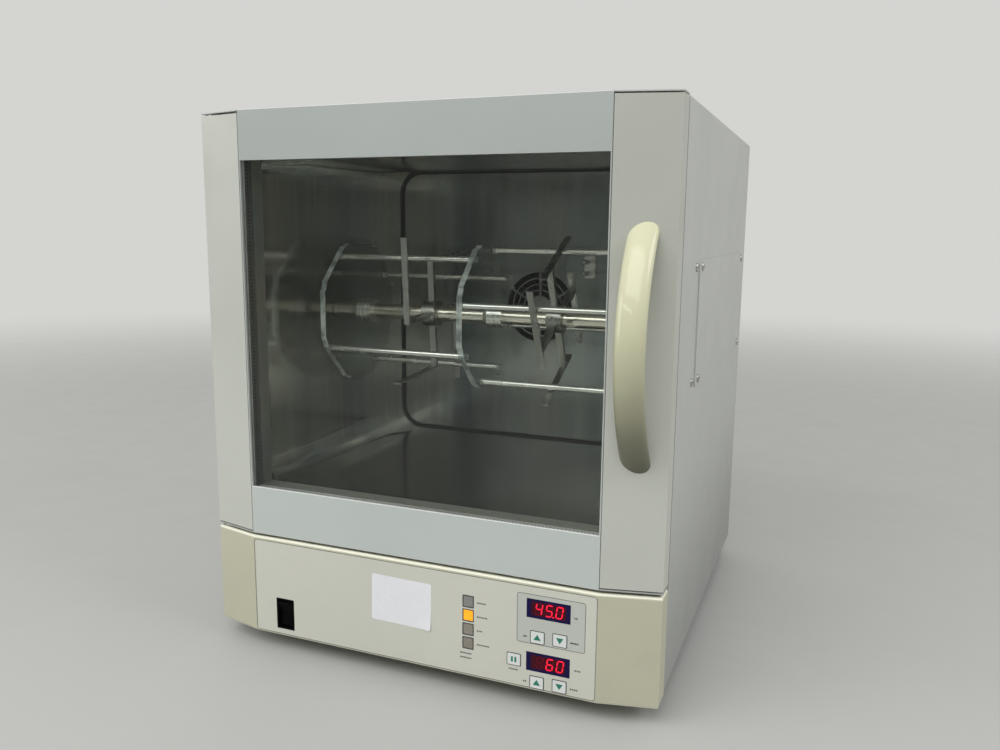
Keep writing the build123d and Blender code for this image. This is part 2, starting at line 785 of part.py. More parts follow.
with BuildPart() as motor_bracket:
    bracket_end = front_y + back_front - seat
    bracket_start = drive_y - motor_radius - bracket_margin
    with BuildSketch(side_plane(motor_face_x)):
        with Locations(((bracket_start + bracket_end) / 2, shaft_height)):
            Rectangle(bracket_end - bracket_start, bracket_height)
        with Locations((drive_y, shaft_height)):
            Circle(motor_bore + 2, mode=Mode.SUBTRACT)
    extrude(amount=bracket_sheet)
    with BuildSketch(front_plane(back_front - seat)):
        with Locations((bracket_foot_x, shaft_height)):
            Rectangle(bracket_foot, bracket_height)
    extrude(amount=bracket_sheet)
write(motor_bracket.part, "motor_bracket")


def pulley_profile(x, y, radius):
    """A flat-belt pulley with two flanges, its axis along X, starting at the given X."""
    for start, width, rim in (
        (x, pulley_flange, radius + pulley_lip),
        (x, pulley_width, radius),
        (x + pulley_width - pulley_flange, pulley_flange, radius + pulley_lip),
    ):
        with BuildSketch(side_plane(start)) as round_face:
            with Locations((y, shaft_height)):
                Circle(rim)
        extrude(round_face.sketch, amount=width)


with BuildPart() as shaft_pulley:
    pulley_profile(pulley_x, shaft_y, shaft_pulley_radius)
    with BuildSketch(side_plane(pulley_x)):
        with Locations((shaft_y, shaft_height)):
            Circle(shaft_radius + running)
    extrude(amount=pulley_width, mode=Mode.SUBTRACT)
write(shaft_pulley.part, "shaft_pulley")

with BuildPart() as motor_pulley:
    pulley_profile(pulley_x, drive_y, motor_pulley_radius)
    with BuildSketch(side_plane(motor_face_x - motor_shaft_reach)):
        with Locations((drive_y, shaft_height)):
            Circle(motor_bore)
    extrude(amount=pulley_x - motor_face_x + motor_shaft_reach + pulley_width)
write(motor_pulley.part, "motor_pulley")

with BuildPart() as drive_belt:
    with BuildSketch(side_plane(belt_x)):
        with Locations((shaft_y, shaft_height)):
            Circle(shaft_pulley_radius + seat + belt_sheet)
        with Locations((drive_y, shaft_height)):
            Circle(motor_pulley_radius + seat + belt_sheet)
        make_hull()
    extrude(amount=belt_width)
    with BuildSketch(side_plane(belt_x)):
        with Locations((shaft_y, shaft_height)):
            Circle(shaft_pulley_radius + seat)
        with Locations((drive_y, shaft_height)):
            Circle(motor_pulley_radius + seat)
        make_hull()
    extrude(amount=belt_width, mode=Mode.SUBTRACT)
write(drive_belt.part, "drive_belt")

# Insulation round the liner, with room for the drive, the left bearing and the plenum
drive_pocket = (drive_y - shaft_y + 80.0, 2 * shaft_pulley_radius + 14.0)
drive_pocket_y = (shaft_y + drive_y) / 2 + 10.0
motor_pocket = (2 * motor_radius + 30.0, 2 * motor_radius + 40.0)
motor_pocket_length = motor_length + 40.0
with BuildPart() as insulation_jacket:
    jacket_front = liner_front + liner_sheet + seat
    jacket_back = plenum_back
    jacket_low = lower_leaf_top + 1.0
    jacket_high = upper_leaf_bottom - 1.0
    jacket_half = inner_half - sheet - 1.0
    with BuildSketch(front_plane(jacket_front)):
        with Locations((0, (jacket_low + jacket_high) / 2)):
            Rectangle(2 * jacket_half, jacket_high - jacket_low)
    extrude(amount=-(jacket_back - jacket_front))
    with BuildSketch(front_plane(jacket_front)):
        with Locations((0, chamber_middle)):
            grown = 2 * (liner_sheet + seat)
            RectangleRounded(chamber_width + grown, chamber_height + grown, chamber_corner + grown / 2)
    extrude(amount=-(chamber_back_depth - seat - jacket_front), mode=Mode.SUBTRACT)
    with BuildSketch(front_plane(chamber_back_depth - seat)):
        with Locations((0, chamber_middle)):
            grown = 2 * (liner_flange + seat)
            RectangleRounded(chamber_width + grown, chamber_height + grown, chamber_corner + grown / 2)
    extrude(amount=-(frame_sheet + 2 * seat), mode=Mode.SUBTRACT)
    with BuildSketch(front_plane(chamber_back_depth)):
        with Locations((fan_x, chamber_middle)):
            Rectangle(plenum_size + 2 * seat, plenum_size + 2 * seat)
    extrude(amount=-(jacket_back - chamber_back_depth), mode=Mode.SUBTRACT)
    with BuildSketch(side_plane(liner_outside + seat)):
        with Locations((drive_pocket_y, shaft_height)):
            Rectangle(*drive_pocket)
    extrude(amount=half_width, mode=Mode.SUBTRACT)
    with BuildSketch(side_plane(-liner_outside - seat)):
        with Locations((shaft_y, shaft_height)):
            Circle(bearing_radii[0] + 2)
    extrude(amount=-(bearing_flange + bearing_boss + 2), mode=Mode.SUBTRACT)
    with BuildSketch(side_plane(motor_face_x - motor_length - 2)):
        with Locations((drive_y, shaft_height)):
            Rectangle(*motor_pocket)
    extrude(amount=motor_pocket_length, mode=Mode.SUBTRACT)
write(insulation_jacket.part, "insulation_jacket")

# ======================================================================
# Hinges and catch on the case
# ======================================================================
pin_radius = 3.0
collar_radius = 5.0
bush_radius = 5.0
pin_engagement = 10.0
left_column_top = upper_leaf_bottom - seat
column_bottom = door_bottom + rim_sheet + rim_gap
column_top = door_top - rim_sheet - rim_gap


def leaf_sketch():
    """A hinge leaf in plan: a tongue with a round end about the hinge axis."""
    with Locations((hinge_x, hinge_y)):
        Circle(leaf_radius)
    tongue = front_y + leaf_back - hinge_y
    with Locations((hinge_x, hinge_y + tongue / 2)):
        Rectangle(2 * leaf_radius, tongue)


with BuildPart() as hinge_leaves:
    with BuildSketch(Plane.XY.offset(base_top)):
        leaf_sketch()
    extrude(amount=leaf_sheet)
    with BuildSketch(Plane.XY.offset(lower_leaf_top)):
        with Locations((hinge_x, hinge_y)):
            Circle(collar_radius)
    extrude(amount=door_bottom - seat - lower_leaf_top)
    with BuildSketch(Plane.XY.offset(lower_leaf_top)):
        with Locations((hinge_x, hinge_y)):
            Circle(pin_radius)
    extrude(amount=door_bottom + pin_engagement - lower_leaf_top)
    with BuildSketch(Plane.XY.offset(upper_leaf_bottom)):
        leaf_sketch()
    extrude(amount=leaf_sheet)
    with BuildSketch(Plane.XY.offset(upper_leaf_bottom)):
        with Locations((hinge_x, hinge_y)):
            Circle(pin_radius)
    extrude(amount=-pin_engagement)
write(hinge_leaves.part, "hinge_leaves")

catch_x = half_width - 16.0
catch_inset = 85.0
catch_heights = (door_bottom + catch_inset, door_top - catch_inset)
catch_size = (12.0, 30.0)
strike_sheet = 0.6
magnet_sheet = case_gap - strike_sheet - seat
with BuildPart() as strike_plates:
    with BuildSketch(front_plane(case_front)):
        with Locations(*[(catch_x, z) for z in catch_heights]):
            Rectangle(*catch_size)
    extrude(amount=strike_sheet)
write(strike_plates.part, "strike_plates")

# ======================================================================
# Door
# ======================================================================
lip_depth = 25.0
reveal_height = window_height + 2 * reveal_drop


def door_plan():
    """Plan outline of the whole door with its rounded corners, as a sketch."""
    front_outline(door_depth)
    round_front_corners()
    rear_left = vertices().group_by(Axis.Y)[-1].sort_by(Axis.X)[0]
    fillet(rear_left, hinge_inset)


def column_block(sx, bottom, top):
    """The outer form of a corner column, from its bottom to its top."""
    with BuildSketch(Plane.XY.offset(bottom)) as outline:
        door_plan()
        with Locations((sx * (half_panel + column_gap + half_width / 2), front_y)):
            Rectangle(half_width, 4 * door_depth, mode=Mode.INTERSECT)
    extrude(outline.sketch, amount=top - bottom)


def column_hollow(sx, bottom, top):
    """Hollow a column: walls in front, outside, behind its outer part and at both ends."""
    front = column_wall / cos(slant)
    outer = half_width - column_wall
    lip = half_width - lip_depth
    with BuildSketch(Plane.XY.offset(bottom + column_wall)) as outline:
        Polygon(
            (sx * half_panel, front_y + front),
            (sx * outer, front_y + front + (outer - half_panel) * tan(slant)),
            (sx * outer, front_y + door_depth - column_wall),
            (sx * lip, front_y + door_depth - column_wall),
            (sx * lip, front_y + door_depth + 1),
            (sx * half_panel, front_y + door_depth + 1),
            align=None,
        )
        sides = vertices().group_by(Axis.X)
        if sx < 0:
            fillet(sides[0].sort_by(Axis.Y)[0], hinge_corner_radius - column_wall)
            fillet(vertices().group_by(Axis.X)[0].sort_by(Axis.Y)[-1], hinge_inset - column_wall)
        else:
            fillet(sides[-1].sort_by(Axis.Y)[0], corner_radius - column_wall)
    extrude(outline.sketch, amount=top - bottom - 2 * column_wall, mode=Mode.SUBTRACT)
    # Room for the door pan's back sheet across both end caps
    with BuildSketch(front_plane(door_depth - rim_sheet)) as rebate:
        with Locations((sx * (half_panel + lip) / 2, (bottom + top) / 2)):
            Rectangle(lip - half_panel + 2 * column_wall, top - bottom)
    extrude(rebate.sketch, amount=-2 * rim_sheet, mode=Mode.SUBTRACT)


with BuildPart() as left_column:
    column_block(-1, column_bottom, left_column_top)
    column_hollow(-1, column_bottom, left_column_top)
    with BuildSketch(Plane.XY.offset(column_bottom - 1)):
        with Locations((hinge_x, hinge_y)):
            Circle(bush_radius + running)
    extrude(amount=door_height, mode=Mode.SUBTRACT)
write(left_column.part, "left_column")

handle_x = half_width - 24.5
handle_width = 22.6
handle_thick = 13.0
handle_radius = 130.0
handle_lift = 1.0
handle_middle = window_middle + handle_lift
handle_face_depth = (handle_x - half_panel) * tan(slant)
handle_screw_radius = 2.0
handle_screw_head = 2.5
handle_screw_places = (-77.0, 77.0)
handle_screw_reach = 9.0
surface_plane = Plane(
    origin=(handle_x, front_y + handle_face_depth, handle_middle),
    x_dir=(0, 0, 1),
    z_dir=(sin(slant), -cos(slant), 0),
)

with BuildPart() as right_column:
    column_block(1, column_bottom, column_top)
    column_hollow(1, column_bottom, column_top)
    with BuildSketch(surface_plane.offset(-2 * column_wall)):
        with Locations(*[(z, 0) for z in handle_screw_places]):
            Circle(handle_screw_radius + running)
    extrude(amount=3 * column_wall, mode=Mode.SUBTRACT)
write(right_column.part, "right_column")

# The handle is an arch of a ring with an oval section, cut flat where it stands on the column
arch_y = front_y - handle_rise + handle_thick / 2

with BuildPart() as door_handle:
    with BuildSketch(Plane(origin=(handle_x, arch_y, handle_middle), x_dir=(1, 0, 0), z_dir=(0, 0, 1))):
        Ellipse(handle_width / 2, handle_thick / 2)
    revolve(axis=Axis((handle_x, arch_y + handle_radius, handle_middle), (1, 0, 0)))
    split(bisect_by=surface_plane)
    with BuildSketch(surface_plane):
        with Locations(*[(z, 0) for z in handle_screw_places]):
            Circle(handle_screw_radius + running)
    extrude(amount=handle_screw_reach + 1, mode=Mode.SUBTRACT)
write(door_handle.part, "door_handle")

with BuildPart() as handle_screws:
    for z in handle_screw_places:
        with BuildSketch(surface_plane.offset(-column_wall)):
            with Locations((z, 0)):
                Circle(2 * handle_screw_radius)
        extrude(amount=-handle_screw_head)
        with BuildSketch(surface_plane.offset(-column_wall)):
            with Locations((z, 0)):
                Circle(handle_screw_radius)
        extrude(amount=column_wall + handle_screw_reach)
write(handle_screws.part, "handle_screws")

with BuildPart() as door_panel:
    with BuildSketch(front_plane(0)):
        with Locations((0, (door_bottom + door_top) / 2)):
            Rectangle(panel_width, door_height)
        with Locations((0, window_middle)):
            Rectangle(window_width, window_height, mode=Mode.SUBTRACT)
    extrude(amount=-panel_sheet)
    fillet(door_panel.edges().group_by(Axis.Y)[0], panel_edge)
write(door_panel.part, "door_panel")

# Door pan: a back sheet round the window tunnel and the thin plates over and under the columns
pan_half_width = half_width - lip_depth - 1.0
tunnel_wall = 5.0
with BuildPart() as door_pan:
    with BuildSketch(front_plane(door_depth)):
        with Locations((0, (door_bottom + door_top) / 2)):
            Rectangle(2 * pan_half_width, door_height - 2 * rim_sheet - 2 * rim_gap)
        with Locations((0, window_middle)):
            hole = (window_width + 2 * tunnel_wall + 2 * slip, reveal_height + 2 * tunnel_wall + 2 * slip)
            Rectangle(*hole, mode=Mode.SUBTRACT)
    extrude(amount=rim_sheet)
    for z in (column_bottom, column_top):
        edge = door_bottom if z == column_bottom else door_top
        with BuildSketch(front_plane(door_depth)):
            with Locations((0, (edge + z) / 2)):
                Rectangle(2 * pan_half_width, abs(edge - z) + 2 * rim_sheet)
        extrude(amount=rim_sheet)
    for z in (door_bottom, door_top - rim_sheet):
        with BuildSketch(Plane.XY.offset(z)):
            door_plan()
            with Locations((0, front_y)):
                Rectangle(panel_width + 2 * slip, 2 * (panel_sheet + slip), mode=Mode.SUBTRACT)
            if z == door_bottom:
                with Locations((hinge_x, hinge_y)):
                    Circle(bush_radius + running, mode=Mode.SUBTRACT)
        extrude(amount=rim_sheet)
write(door_pan.part, "door_pan")

bush_reach = 6.0
with BuildPart() as pivot_bushes:
    for low, high in (
        (door_bottom, column_bottom + column_wall + bush_reach),
        (left_column_top - pin_engagement, left_column_top),
    ):
        with BuildSketch(Plane.XY.offset(low)):
            with Locations((hinge_x, hinge_y)):
                Circle(bush_radius)
                Circle(pin_radius + running, mode=Mode.SUBTRACT)
        extrude(amount=high - low)
write(pivot_bushes.part, "pivot_bushes")

# Double glazing in a rectangular tunnel
outer_glass_front = panel_sheet + seat
spacer_front = outer_glass_front + glass_sheet
inner_glass_front = spacer_front + spacer_depth
tunnel_front = inner_glass_front + glass_sheet
glass_lap = 1.4
with BuildPart() as outer_glass:
    with BuildSketch(front_plane(outer_glass_front)):
        with Locations((0, window_middle)):
            Rectangle(window_width + 2 * glass_lap, reveal_height + 2 * tunnel_wall)
    extrude(amount=-glass_sheet)
write(outer_glass.part, "outer_glass")

with BuildPart() as glass_spacer:
    with BuildSketch(front_plane(spacer_front)):
        with Locations((0, window_middle)):
            Rectangle(window_width + 2 * tunnel_wall, reveal_height + 2 * tunnel_wall)
            Rectangle(window_width, reveal_height, mode=Mode.SUBTRACT)
    extrude(amount=-spacer_depth)
write(glass_spacer.part, "glass_spacer")

with BuildPart() as inner_glass:
    with BuildSketch(front_plane(inner_glass_front)):
        with Locations((0, window_middle)):
            Rectangle(window_width + 2 * tunnel_wall, reveal_height + 2 * tunnel_wall)
    extrude(amount=-glass_sheet)
write(inner_glass.part, "inner_glass")

with BuildPart() as window_tunnel:
    with BuildSketch(front_plane(tunnel_front)):
        with Locations((0, window_middle)):
            Rectangle(window_width + 2 * tunnel_wall, reveal_height + 2 * tunnel_wall)
            Rectangle(window_width, reveal_height, mode=Mode.SUBTRACT)
    extrude(amount=-(door_depth - tunnel_front))
write(window_tunnel.part, "window_tunnel")

gasket_width = 9.0
gasket_corner = 3.0
with BuildPart() as door_gasket:
    with BuildSketch(front_plane(door_depth)):
        size = (window_width + 2 * tunnel_wall, reveal_height + 2 * tunnel_wall)
        shell_ring(*size, window_middle, gasket_width, gasket_corner)
    extrude(amount=-(case_gap - seat))
write(door_gasket.part, "door_gasket")

with BuildPart() as door_magnets:
    with BuildSketch(front_plane(door_depth)):
        with Locations(*[(catch_x, z) for z in catch_heights]):
            Rectangle(*catch_size)
    extrude(amount=-magnet_sheet)
write(door_magnets.part, "door_magnets")

# ======================================================================
# Carousel: shaft, three clear plates, rods and spring clips
# ======================================================================
shaft_left = -(liner_outside + bearing_flange + bearing_boss)
left_rod_angle = 31.0
right_rod_angle = 77.0
rods_per_half = 4
plate_places = [plate_middle_x + i * plate_pitch for i in (-1, 0, 1)]
notch_size = (8.0, 7.0)
notch_depth = 3.0
plate_sides = 8
first_corner = 180 / plate_sides
corner_reach = plate_flats / 2 / cos(pi / plate_sides)
disc_sheet = 2.5

with BuildPart() as rotor_shaft:
    with BuildSketch(side_plane(shaft_left)):
        with Locations((shaft_y, shaft_height)):
            Circle(shaft_radius)
    extrude(amount=pulley_x + pulley_width - shaft_left)
    chamfer(rotor_shaft.edges().filter_by(GeomType.CIRCLE), 1)
write(rotor_shaft.part, "rotor_shaft")

plates = {
    "left_plate": (plate_places[0], (left_rod_angle,)),
    "middle_plate": (plate_places[1], (left_rod_angle, right_rod_angle)),
    "right_plate": (plate_places[2], (right_rod_angle,)),
}
for name, (x, rod_angles) in plates.items():
    with BuildPart() as plate:
        with BuildSketch(side_plane(x - plate_thickness / 2)):
            with Locations((shaft_y, shaft_height)):
                RegularPolygon(plate_flats / 2, plate_sides, major_radius=False, rotation=first_corner)
                Circle(shaft_radius + running, mode=Mode.SUBTRACT)
                notch_circle = corner_reach + notch_size[1] / 2 - notch_depth
                with PolarLocations(notch_circle, plate_sides, start_angle=first_corner):
                    Rectangle(notch_size[1], notch_size[0], mode=Mode.SUBTRACT)
                for angle in rod_angles:
                    with PolarLocations(rod_circle, rods_per_half, start_angle=angle):
                        Circle(rod_diameter / 2 + running, mode=Mode.SUBTRACT)
        extrude(amount=plate_thickness)
    write(plate.part, name)

with BuildPart() as end_disc:
    with BuildSketch(side_plane(plate_places[0] - plate_thickness / 2 - disc_sheet - slip)):
        with Locations((shaft_y, shaft_height)):
            Circle(disc_radius)
            Circle(shaft_radius + running, mode=Mode.SUBTRACT)
    extrude(amount=disc_sheet)
write(end_disc.part, "end_disc")

# Clamping hubs with two grooves, one beside each plate
hub_length = 15.0
plate_hub_radius = 12.0
groove = 1.0
hub_starts = [
    plate_places[0] + plate_thickness / 2,
    plate_places[1] + plate_thickness / 2,
    plate_places[2] - plate_thickness / 2 - hub_length,
]
with BuildPart() as plate_hubs:
    for start in hub_starts:
        with BuildSketch(side_plane(start)):
            with Locations((shaft_y, shaft_height)):
                Circle(plate_hub_radius)
        extrude(amount=hub_length)
        for share in (1 / 3, 2 / 3):
            with BuildSketch(side_plane(start + share * hub_length - groove / 2)):
                with Locations((shaft_y, shaft_height)):
                    Circle(plate_hub_radius + groove)
                    Circle(plate_hub_radius - groove, mode=Mode.SUBTRACT)
            extrude(amount=groove, mode=Mode.SUBTRACT)
    with BuildSketch(side_plane(-half_width)):
        with Locations((shaft_y, shaft_height)):
            Circle(shaft_radius + running)
    extrude(amount=body_width, mode=Mode.SUBTRACT)
write(plate_hubs.part, "plate_hubs")

with BuildPart() as carrier_rods:
    halves = (
        (plate_places[0] - plate_thickness / 2, plate_places[1], left_rod_angle),
        (plate_places[1], plate_places[2] + plate_thickness / 2, right_rod_angle),
    )
    for start, end, angle in halves:
        with BuildSketch(side_plane(start)):
            with Locations((shaft_y, shaft_height)):
                with PolarLocations(rod_circle, rods_per_half, start_angle=angle):
                    Circle(rod_diameter / 2)
        extrude(amount=end - start)
write(carrier_rods.part, "carrier_rods")

# Spring clips: a hub in each half with four arms, and a flat spring across the end of each arm.
# Each place gives the clip's X, its turn, and how far its springs reach to either side of their arms
clip_hub_radius = 13.0
clip_hub_length = 14.0
clip_arm = 5.0
spring_reach = 54.0
spring_sheet = 1.6
spring_width = 6.0
clip_places = [(-56.5, 184.0, (-2.5, 78.0)), (73.0, 207.0, (-20.0, 62.0))]
with BuildPart() as spring_clips:
    for x, turn, ends in clip_places:
        with BuildSketch(side_plane(x - clip_hub_length / 2)):
            with Locations((shaft_y, shaft_height)):
                Circle(clip_hub_radius)
        extrude(amount=clip_hub_length)
        with BuildSketch(side_plane(x - spring_width / 2)):
            with Locations((shaft_y, shaft_height)):
                with PolarLocations(spring_reach / 2, rods_per_half, start_angle=turn):
                    Rectangle(spring_reach, clip_arm)
                with PolarLocations(0, rods_per_half, start_angle=turn):
                    with Locations((spring_reach, -sum(ends) / 2)):
                        Rectangle(spring_sheet, ends[1] - ends[0])
        extrude(amount=spring_width)
    with BuildSketch(side_plane(-half_width)):
        with Locations((shaft_y, shaft_height)):
            Circle(shaft_radius + running)
    extrude(amount=body_width, mode=Mode.SUBTRACT)
write(spring_clips.part, "spring_clips")
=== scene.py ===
"""Looks of the bench hybridization oven: finishes, prints, lit digits and screw heads on the fixed model."""
import json
import math

import bpy
from mathutils import Matrix, Vector


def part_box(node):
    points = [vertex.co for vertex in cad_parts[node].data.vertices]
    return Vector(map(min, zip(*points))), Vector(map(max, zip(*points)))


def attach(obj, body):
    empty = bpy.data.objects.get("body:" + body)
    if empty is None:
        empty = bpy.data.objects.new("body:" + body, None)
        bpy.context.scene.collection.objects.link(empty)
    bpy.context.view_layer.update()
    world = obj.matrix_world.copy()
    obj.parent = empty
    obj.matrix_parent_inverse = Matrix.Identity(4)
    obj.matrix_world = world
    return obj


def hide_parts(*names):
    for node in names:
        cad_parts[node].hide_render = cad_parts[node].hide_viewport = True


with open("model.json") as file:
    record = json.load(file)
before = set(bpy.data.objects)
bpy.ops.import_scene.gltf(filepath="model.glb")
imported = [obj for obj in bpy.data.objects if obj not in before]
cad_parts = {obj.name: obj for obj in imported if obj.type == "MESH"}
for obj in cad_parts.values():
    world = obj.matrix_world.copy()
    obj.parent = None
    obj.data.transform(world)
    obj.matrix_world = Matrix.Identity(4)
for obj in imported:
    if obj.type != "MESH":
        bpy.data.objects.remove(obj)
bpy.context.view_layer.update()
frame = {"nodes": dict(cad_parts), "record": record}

MM = 0.001
PRINT = 0.05 * MM  # one layer of print or film
UPRIGHT = (math.radians(90), 0, 0)  # turns a flat shape up into the X-Z plane, facing the front
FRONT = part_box("door_panel")[0].y

scene = bpy.context.scene
finishes = {}  # every Finish by its material's name


# ---------------------------------------------------------------- modelling helpers
def deselect():
    """Leave object mode with nothing selected."""
    if bpy.context.object and bpy.context.object.mode != "OBJECT":
        bpy.ops.object.mode_set(mode="OBJECT")
    bpy.ops.object.select_all(action="DESELECT")


def select_only(*pieces):
    """Select these pieces only, the last one active."""
    deselect()
    for piece in pieces:
        piece.select_set(True)
    bpy.context.view_layer.objects.active = pieces[-1]


def apply_place(piece):
    """Put the piece's place, turn and scale into its mesh."""
    select_only(piece)
    bpy.ops.object.transform_apply(location=True, rotation=True, scale=True)


def edit_all():
    """Edit the active piece with all of it selected."""
    bpy.ops.object.mode_set(mode="EDIT")
    bpy.ops.mesh.select_all(action="SELECT")


def clear_mesh_selection():
    """Leave nothing selected in the active piece's mesh, for the script to mark what it wants."""
    bpy.ops.object.mode_set(mode="EDIT")
    bpy.ops.mesh.select_all(action="DESELECT")
    bpy.ops.object.mode_set(mode="OBJECT")


def shift(piece, place):
    """Move a piece inside its own mesh."""
    piece.data.transform(Matrix.Translation(place))


def flat_face(width, height, corner=0.0, segments=4):
    """A face in the X-Z plane about the origin, facing the front, with rounded corners."""
    deselect()
    bpy.ops.mesh.primitive_plane_add(size=1, rotation=UPRIGHT)
    piece = bpy.context.object
    piece.scale = (width, height, 1)
    apply_place(piece)
    if corner > 0:
        edit_all()
        bpy.ops.mesh.bevel(offset=corner, segments=segments, affect="VERTICES")
        bpy.ops.object.mode_set(mode="OBJECT")
    return piece


def thicken(depth):
    """Give the active piece's flat faces a depth behind them, all faces outwards."""
    edit_all()
    bpy.ops.mesh.extrude_region_move(TRANSFORM_OT_translate={"value": (0, depth, 0)})
    bpy.ops.mesh.select_all(action="SELECT")
    bpy.ops.mesh.normals_make_consistent(inside=False)
    bpy.ops.object.mode_set(mode="OBJECT")


def slab(width, height, depth, corner=0.0, segments=4):
    """A thin plate about the origin in X-Z, its front face at Y = 0."""
    piece = flat_face(width, height, corner, segments)
    thicken(depth)
    return piece


def frame_ring(width, height, line, depth, corner=0.0, segments=4):
    """A thin outline about the origin, with the given outside size and line width."""
    piece = flat_face(width, height, corner, segments)
    edit_all()
    bpy.ops.mesh.inset(thickness=line)
    bpy.ops.mesh.delete(type="FACE")
    bpy.ops.object.mode_set(mode="OBJECT")
    thicken(depth)
    return piece


def copy_of(piece, place=(0, 0, 0), turn=0.0, scale=(1, 1, 1)):
    """A copy with its own mesh, scaled, turned about Y and moved, all of it inside its mesh."""
    twin = piece.copy()
    twin.data = piece.data.copy()
    scene.collection.objects.link(twin)
    sized = Matrix.Diagonal((*scale, 1))
    twin.data.transform(Matrix.Translation(place) @ Matrix.Rotation(turn, 4, "Y") @ sized)
    return twin


def discard(piece):
    """Remove a helper piece."""
    bpy.data.objects.remove(piece)


def cut_block(piece, size, place, turn=0.0):
    """Cut a block, turned about Z, out of a piece."""
    deselect()
    bpy.ops.mesh.primitive_cube_add(size=1, location=place, rotation=(0, 0, turn))
    block = bpy.context.object
    block.scale = size
    apply_place(block)
    cut = piece.modifiers.new("cut", "BOOLEAN")
    cut.operation = "DIFFERENCE"
    cut.object = block
    select_only(piece)
    bpy.ops.object.modifier_apply(modifier="cut")
    discard(block)


def joined(pieces):
    """All pieces as one."""
    if len(pieces) > 1:
        select_only(*pieces)
        bpy.ops.object.join()
    return pieces[-1]


def place_piece(piece, name, body, finish, move=(0, 0, 0), smooth=30):
    """Name a finished piece, put it in place, and give it its finish and its body."""
    shift(piece, move)
    piece.name = name
    piece.data.name = name
    piece.data.materials.clear()
    piece.data.materials.append(finishes[finish].material)
    select_only(piece)
    bpy.ops.object.shade_smooth_by_angle(angle=math.radians(smooth))
    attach(piece, body)
    return piece


# ---------------------------------------------------------------- material helpers
class Finish:
    """A procedural material with a few shorthands for its nodes."""

    def __init__(self, name):
        self.material = bpy.data.materials.new(name)
        self.material.use_nodes = True
        self.tree = self.material.node_tree
        self.tree.nodes.clear()
        self.output = self.node("ShaderNodeOutputMaterial")
        finishes[name] = self

    def node(self, kind, **settings):
        """A new node, with its sockets or its own settings set by name."""
        made = self.tree.nodes.new(kind)
        for key, value in settings.items():
            if key in made.inputs:
                made.inputs[key].default_value = value
            else:
                setattr(made, key, value)
        return made

    def link(self, source, target):
        self.tree.links.new(source, target)

    def principled(self, colour, roughness, metallic=0.0, **sockets):
        """Start from the main shader; an underscore stands for the space in a socket's name."""
        self.shader = self.node("ShaderNodeBsdfPrincipled")
        self.shader.inputs["Base Color"].default_value = (*colour, 1)
        self.shader.inputs["Roughness"].default_value = roughness
        self.shader.inputs["Metallic"].default_value = metallic
        for key, value in sockets.items():
            self.shader.inputs[key.replace("_", " ")].default_value = value
        self.link(self.shader.outputs[0], self.output.inputs[0])

    def feed(self, socket, source):
        """Let a value or a colour set a socket of the main shader."""
        self.link(source, self.shader.inputs[socket])

    def mix_shaders(self, share, first, second):
        """Show the first shader, and in its place the second one by its share."""
        mix = self.node("ShaderNodeMixShader")
        for socket, source in zip(mix.inputs, (share, first, second)):
            self.link(source, socket)
        self.link(mix.outputs[0], self.output.inputs[0])
        return mix.outputs[0]

    def noise(self, scale, detail=2.0, rough=0.5, stretch=None):
        """Noise on the piece's own coordinates, which are first scaled by stretch along each axis."""
        coords = self.node("ShaderNodeTexCoord").outputs["Object"]
        if stretch:
            mapping = self.node("ShaderNodeMapping", Scale=stretch)
            self.link(coords, mapping.inputs["Vector"])
            coords = mapping.outputs[0]
        texture = self.node("ShaderNodeTexNoise", Scale=scale, Detail=detail, Roughness=rough)
        self.link(coords, texture.inputs["Vector"])
        return texture.outputs["Fac"]

    def spread(self, source, low, high, to_low=0, to_high=1):
        """Map a stretch of a value to another, smoothly and held at both ends."""
        ranged = self.node("ShaderNodeMapRange", interpolation_type="SMOOTHSTEP")
        self.link(source, ranged.inputs["Value"])
        for key, value in zip(("From Min", "From Max", "To Min", "To Max"), (low, high, to_low, to_high)):
            ranged.inputs[key].default_value = value
        return ranged.outputs[0]

    def maths(self, operation, *values):
        """One step of arithmetic on numbers or on other nodes' values."""
        made = self.node("ShaderNodeMath", operation=operation)
        for socket, value in zip(made.inputs, values):
            if isinstance(value, (int, float)):
                socket.default_value = value
            else:
                self.link(value, socket)
        return made.outputs[0]

    def blend(self, share, first, second):
        """Blend two colours by a value."""
        return self.mix_colours("MIX", share, first, second)

    def multiplied(self, first, second):
        """Two colours multiplied."""
        return self.mix_colours("MULTIPLY", 1.0, first, second)

    def mix_colours(self, kind, share, first, second):
        mix = self.node("ShaderNodeMix", data_type="RGBA", blend_type=kind)
        if isinstance(share, (int, float)):
            mix.inputs["Factor"].default_value = share
        else:
            self.link(share, mix.inputs["Factor"])
        for socket, value in ((mix.inputs["A"], first), (mix.inputs["B"], second)):
            if isinstance(value, tuple):
                socket.default_value = (*value, 1)
            else:
                self.link(value, socket)
        return mix.outputs["Result"]

    def blend_values(self, share, first, second):
        """Blend two values by a third."""
        mix = self.node("ShaderNodeMix", data_type="FLOAT")
        self.link(share, mix.inputs["Factor"])
        self.link(first, mix.inputs["A"])
        self.link(second, mix.inputs["B"])
        return mix.outputs["Result"]

    def split(self, output):
        """The X, Y and Z of one of the texture coordinates."""
        parts = self.node("ShaderNodeSeparateXYZ")
        self.link(self.node("ShaderNodeTexCoord").outputs[output], parts.inputs[0])
        return parts.outputs

    def place(self):
        """The X, Y and Z of the place on the piece."""
        return self.split("Object")

    def facing(self):
        """The X, Y and Z of the way the surface faces."""
        return self.split("Normal")

    def upright_across(self):
        """Full on faces that stand across X, none on the rest."""
        return self.spread(self.maths("ABSOLUTE", self.facing()["X"]), 0.4, 0.6)

    def bump(self, height, distance, strength=1.0):
        """Small relief on the main shader."""
        relief = self.node("ShaderNodeBump", Distance=distance, Strength=strength)
        self.link(height, relief.inputs["Height"])
        self.feed("Normal", relief.outputs[0])


